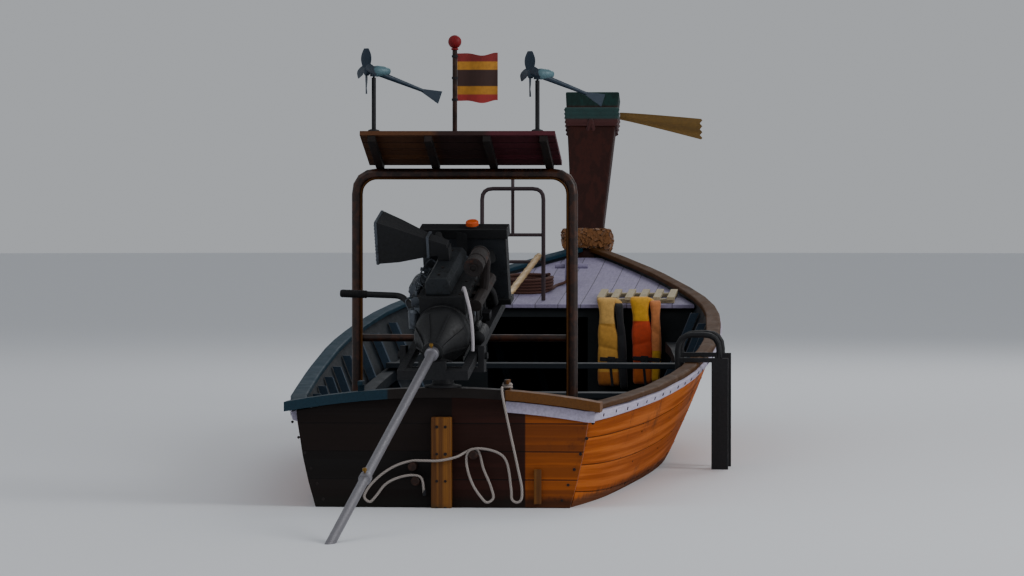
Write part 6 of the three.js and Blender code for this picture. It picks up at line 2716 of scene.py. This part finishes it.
    def hoses(self) -> list[Piece]:
        """Runs the two thick coolant hoses to the radiator, and the pale hose down over the frame.

        Returns:
            The hoses, as two pieces.
        """
        thick = [
            [(0.716, 0.13, 0.415), (0.69, 0.128, 0.415), (0.65, 0.1, 0.4), (0.62, 0.06, 0.36),
             (0.612, 0.04, 0.33), (0.606, 0.036, 0.305)],
            [(0.716, -0.15, 0.045), (0.69, -0.152, 0.046), (0.655, -0.16, 0.07), (0.64, -0.15, 0.13),
             (0.625, -0.115, 0.16), (0.6, -0.1, 0.165)],
        ]
        pale = [(0.13, -0.1, 0.312), (0.1, -0.112, 0.335), (0.04, -0.135, 0.31), (0.0, -0.158, 0.23),
                (-0.02, -0.166, 0.15), (-0.03, -0.167, 0.085), (-0.04, -0.166, 0.04)]
        return [runs(name, [smooth_path(line, 8) for line in lines], radius,
                     Dress(finish, slot, Body.ENGINE, smooth=70), sides, self.place)
                for name, lines, radius, finish, slot, sides in (
                    ("coolant_hoses", thick, 0.019, RUBBER, "black_plastic", 18),
                    ("water_hose", [pale], 0.009, PALE_HOSE, "tube_metal", 14))]

    def intake_bands(self) -> Piece:
        """Adds the air cleaner's clamp bands and the lip round its mouth.

        Returns:
            The bands.
        """
        shape, (x, _) = self.shape(), self.intake
        for y, z, half_x, half_z in ((0.118, 0.4681, 0.0475, 0.055), (0.378, 0.5066, 0.0975, 0.1135)):
            for dx, dz, wide, tall in ((0, half_z, half_x, 0.004), (0, -half_z, half_x, 0.004),
                                       (half_x, 0, 0.004, half_z), (-half_x, 0, 0.004, half_z)):
                low = Vector((x + dx - wide, y - 0.007, z + dz - tall))
                shape.box(low, low + Vector((wide, 0.007, tall)) * 2)
        return shape.piece("intake_bands", ALLOY, "grey_metal", bevel=0.0015)

    def slats(self) -> list[Piece]:
        """Fills the air cleaner's mouth with slats, and covers both faces of the radiator's core with fins.

        Returns:
            The louvres and the fins.
        """
        x, z = self.intake
        louvres = ("intake_louvres", (0.176, 0.004, 0.009), 11, (x, 0.3872, z - 0.094), 0.0188)
        fins = [(f"radiator_fins_{way}", (0.0016, 0.44, 0.0018), 54, (self.radiator + off, 0, 0.062), 0.0061)
                for way, off in (("fore", 0.0372), ("aft", -0.0372))]
        dress = Dress(ALLOY, "grey_metal", Body.ENGINE)
        return [grown(name, wire(f"{name}_none", ()), SLATS, dress, self.place, Size=size, Count=count,
                      First=first, Step=(0, 0, step))
                for name, size, count, first, step in (louvres, *fins)]

    def belt(self) -> Piece:
        """Makes the belt round the pulleys.

        Returns:
            The belt.
        """
        start, rings = self.fore + self.pulley_at, []
        for angle in circle(self.belt_steps):
            y, z = math.sin(angle), math.cos(angle)
            middle, out = (self.upper, 0.0605) if z > 0 else (self.shaft, 0.0725)
            rings.append([(start + at, y * size, middle + z * size) for at, size in (
                (0.009, out), (0.023, out), (0.02, out - self.belt_thick), (0.012, out - self.belt_thick))])
        shape = self.shape().loft(rings, closed=True)
        return shape.piece("drive_belt", RUBBER, "black_plastic", smooth=35)

    def fan(self) -> Piece:
        """Makes the cooling fan with its twisted blades.

        Returns:
            The fan.
        """
        middle, rings = (self.fore + self.fan_at, 0, self.upper), []
        for out, half, pitch in ((0.03, 0.022, 0.75), (0.07, 0.034, 0.62), (0.12, 0.037, 0.5),
                                 (0.17, 0.033, 0.4), (0.181, 0.026, 0.38)):
            flat = ((-half, -0.001), (0, 0.003), (half, -0.001), (half, -0.0026), (0, 0.0012),
                    (-half, -0.0026))
            c, s = math.cos(pitch), math.sin(pitch)
            rings.append([(across * s + off, across * c, out) for across, off in flat])
        hub = [(-0.026, 0.018), (-0.018, 0.037), (0.012, 0.037), (0.0178, 0.02)]
        shape = self.shape().turned(hub, middle, FORE, 28).around(self.fan_blades, Axis.X, middle, rings)
        return shape.piece("cooling_fan", CAST_BLACK, "engine_metal", smooth=35)

    def alternator(self) -> Piece:
        """Makes the alternator with its cooling slots, pulley and bracket.

        Returns:
            The alternator.
        """
        y, z = self.half + 0.076, 0.19
        shape = self.shape()
        shape.turned([(0, 0.03), (0.006, 0.052), (0.03, 0.0605), (0.06, 0.0605), (0.062, 0.0575),
                      (0.1, 0.0575), (0.102, 0.0605), (0.14, 0.0605), (0.162, 0.05), (0.1655, 0.024)],
                     (0.4402, y, z), FORE, 36)
        shape.turned([(0, 0.016), (0.004, 0.0335), (0.009, 0.0335), (0.016, 0.026), (0.023, 0.0335),
                      (0.029, 0.0335), (0.0335, 0.014)], (0.6061, y, z), FORE, 28)
        shape.box((0.471, self.half, 0.17), (0.519, y - 0.04, 0.21))
        shape.box((0.6, self.half * 0.6, 0.24), (0.608, y + 0.02, 0.258), 0.2)
        for a in circle(self.slots):
            sy, sz = y + self.slots_out * math.cos(a), z + self.slots_out * math.sin(a)
            shape.box((0.448, sy - 0.004, sz - 0.004), (0.468, sy + 0.004, sz + 0.004))
        return shape.piece("alternator_dressed", ALLOY, "grey_metal", replaces=("alternator",), smooth=35)

    def housing(self) -> Piece:
        """Makes the bell housing, ribbed and smoothly tapered.

        Returns:
            The housing.
        """
        middle = (0, 0, self.shaft)
        shape = self.shape().turned([
            (-0.0616, 0.14), (-0.0616, 0.148), (-0.046, 0.148), (-0.043, 0.144), (-0.01, 0.1455),
            (0.03, 0.14), (0.05, 0.131), (0.085, 0.112), (0.12, 0.0915), (0.16, 0.075), (0.205, 0.0598),
            (0.24, 0.0535), (0.243, 0.054), (0.258, 0.054), (0.2613, 0.05)], middle, AFT, 44)
        rings = [[(x, y, z) for y, z in ((-0.005, low), (-0.004, high), (0.004, high), (0.005, low))]
                 for x, low, high in ((0.04, 0.12, 0.1475), (-0.05, 0.1, 0.139), (-0.13, 0.07, 0.098),
                                      (-0.2, 0.045, 0.068), (-0.236, 0.04, 0.056))]
        shape.around(self.housing_ribs, Axis.X, middle, rings, math.pi / self.housing_ribs)
        return shape.piece("bell_housing_dressed", CAST_BLACK, "engine_metal",
                           replaces=("bell_housing",), smooth=40)

    def propeller(self) -> Piece:
        """Makes the bronze propeller, with twisted blades on a turned hub.

        Returns:
            The propeller.
        """
        axis, middle, rings = (0, 0, self.shaft), self.propeller_at, []
        shape = self.shape(Body.PROPELLER).turned([
            (3.922, 0.0), (3.922, 0.0148), (3.986, 0.0148), (3.9862, 0.026), (3.996, 0.0308),
            (4.07, 0.0308), (4.092, 0.02), (4.104, 0.009), (4.106, 0.002)], axis, AFT, 36)
        for out, half, thick, pitch in (
                (0.025, 0.02, 0.012, 62), (0.042, 0.034, 0.011, 55), (0.06, 0.0435, 0.0095, 48),
                (0.08, 0.05, 0.008, 41), (0.1, 0.0515, 0.0065, 34), (0.118, 0.047, 0.0055, 30),
                (0.13, 0.036, 0.0045, 26), (0.137, 0.022, 0.0035, 25), (0.1395, 0.01, 0.002, 24)):
            c, s = math.cos(math.radians(pitch)), math.sin(math.radians(pitch))
            flat = [(half * math.cos(a), thick / 2 * math.sin(a) * (1 + 0.3 * math.cos(a)))
                    for a in circle(16)]
            rings.append([(middle + along * c - off * s, along * s + off * c, out) for along, off in flat])
        shape.around(self.propeller_blades, Axis.X, axis, rings)
        return shape.piece("propeller_dressed", BRONZE, "bronze", replaces=("propeller",), smooth=40)


# Light, floor and camera


@dataclass(frozen=True)
class Lamp:
    """A wide soft lamp, with the place that it shines at."""

    place: Point
    aim: Point
    size: float
    power: float


@dataclass
class Studio:
    """A pale floor at the waterline, soft light from above, and a long lens from the photograph's side."""

    eye: Point = (-33.95, -2.95, 1.83)
    look: Point = (0.9985, 0.0891, -0.0239)
    lens: float = 198.6
    sensor: float = 36.0
    far: float = 500.0
    floor_radius: float = 70.0
    stern: float = -4.89
    bow: float = 4.86
    outline_steps: int = 60
    inset: float = 0.012
    least: float = 0.003
    sky: str = "e6eaef"
    strength: float = 0.52
    lamps: tuple[Lamp, ...] = (
        Lamp((-9.0, -15.0, 9.0), (-1.0, 0.0, 0.6), 8.0, 1500.0),
        Lamp((-12.0, 8.0, 10.0), (-3.0, 0.0, 0.8), 9.0, 300.0),
        Lamp((14.0, -4.0, 11.0), (1.0, 0.0, 0.8), 8.0, 600.0),
    )

    def build(self) -> None:
        """Makes the floor, the world's light, the lamps and the camera."""
        inner = self.waterline()
        outer = [point.normalized() * self.floor_radius for point in inner]
        mesh = new_mesh("floor", [*inner, *outer], skin(2, len(inner)))
        mesh.materials.append(FLOOR.material())
        self.placed("floor", mesh, Vector(), None)
        world = bpy.data.worlds.new("studio")
        world.use_nodes = True
        tree = Tree(world.node_tree)
        shade = tree.node("ShaderNodeBackground", Color=rgb(self.sky), Strength=self.strength)
        tree.node("ShaderNodeOutputWorld", shade.outputs["Background"])
        bpy.context.scene.world = world
        for i, lamp in enumerate(self.lamps):
            light = bpy.data.lights.new(f"soft_lamp_{i}", "AREA")
            light.energy, light.size = lamp.power, lamp.size
            self.placed(f"soft_lamp_{i}", light, Vector(lamp.place), Vector(lamp.aim) - Vector(lamp.place))
        camera = bpy.data.cameras.new("camera")
        camera.lens, camera.sensor_width, camera.clip_end = self.lens, self.sensor, self.far
        bpy.context.scene.camera = self.placed("camera", camera, Vector(self.eye), Vector(self.look))

    @staticmethod
    def placed(name: str, data: bpy.types.ID, place: Vector, way: Vector | None) -> Piece:
        """Puts a thing in the scene.

        Args:
            name: Its name.
            data: Its mesh, light or camera.
            place: Where it stands.
            way: Where it looks, if it looks anywhere.

        Returns:
            The thing.
        """
        thing = bpy.data.objects.new(name, data)
        thing.location = place
        if way:
            thing.rotation_euler = way.to_track_quat("-Z", "Y").to_euler()
        bpy.context.scene.collection.objects.link(thing)
        return thing

    def waterline(self) -> list[Vector]:
        """Traces the hull at the water's height, inside its planks, so that no floor shows in the boat.

        Returns:
            The points of both sides.
        """
        side = []
        for i in range(self.outline_steps + 1):
            x = self.stern + (self.bow - self.stern) * i / self.outline_steps
            met = cast("hull_shell", (x, 3.0, 0.0), (0, -1, 0))
            if met:
                side.append(Vector((x, max(met[0].y - self.inset, self.least), 0)))
        return [*side, *map(other_side, reversed(side))]


def main() -> None:
    """Builds the boat from its classes, in order, and reports each piece."""
    logging.basicConfig(level=logging.INFO, format="%(name)s %(message)s")
    Studio().build()
    parts = [
        SternRope(), AnchorRope(), Planking(), Stern(), Deck(), ProwDress(), Streamer(), LifeVest(1),
        LifeVest(2), Arch(), Flag(), Vane("port", Body.VANE_PORT, Body.ROTOR_PORT),
        Vane("starboard", Body.VANE_STARBOARD, Body.ROTOR_STARBOARD), Engine(),
    ]
    pieces = [piece for part in parts for piece in part.build()]
    log.info("%d pieces", len(pieces))


if __name__ == "__main__":
    main()
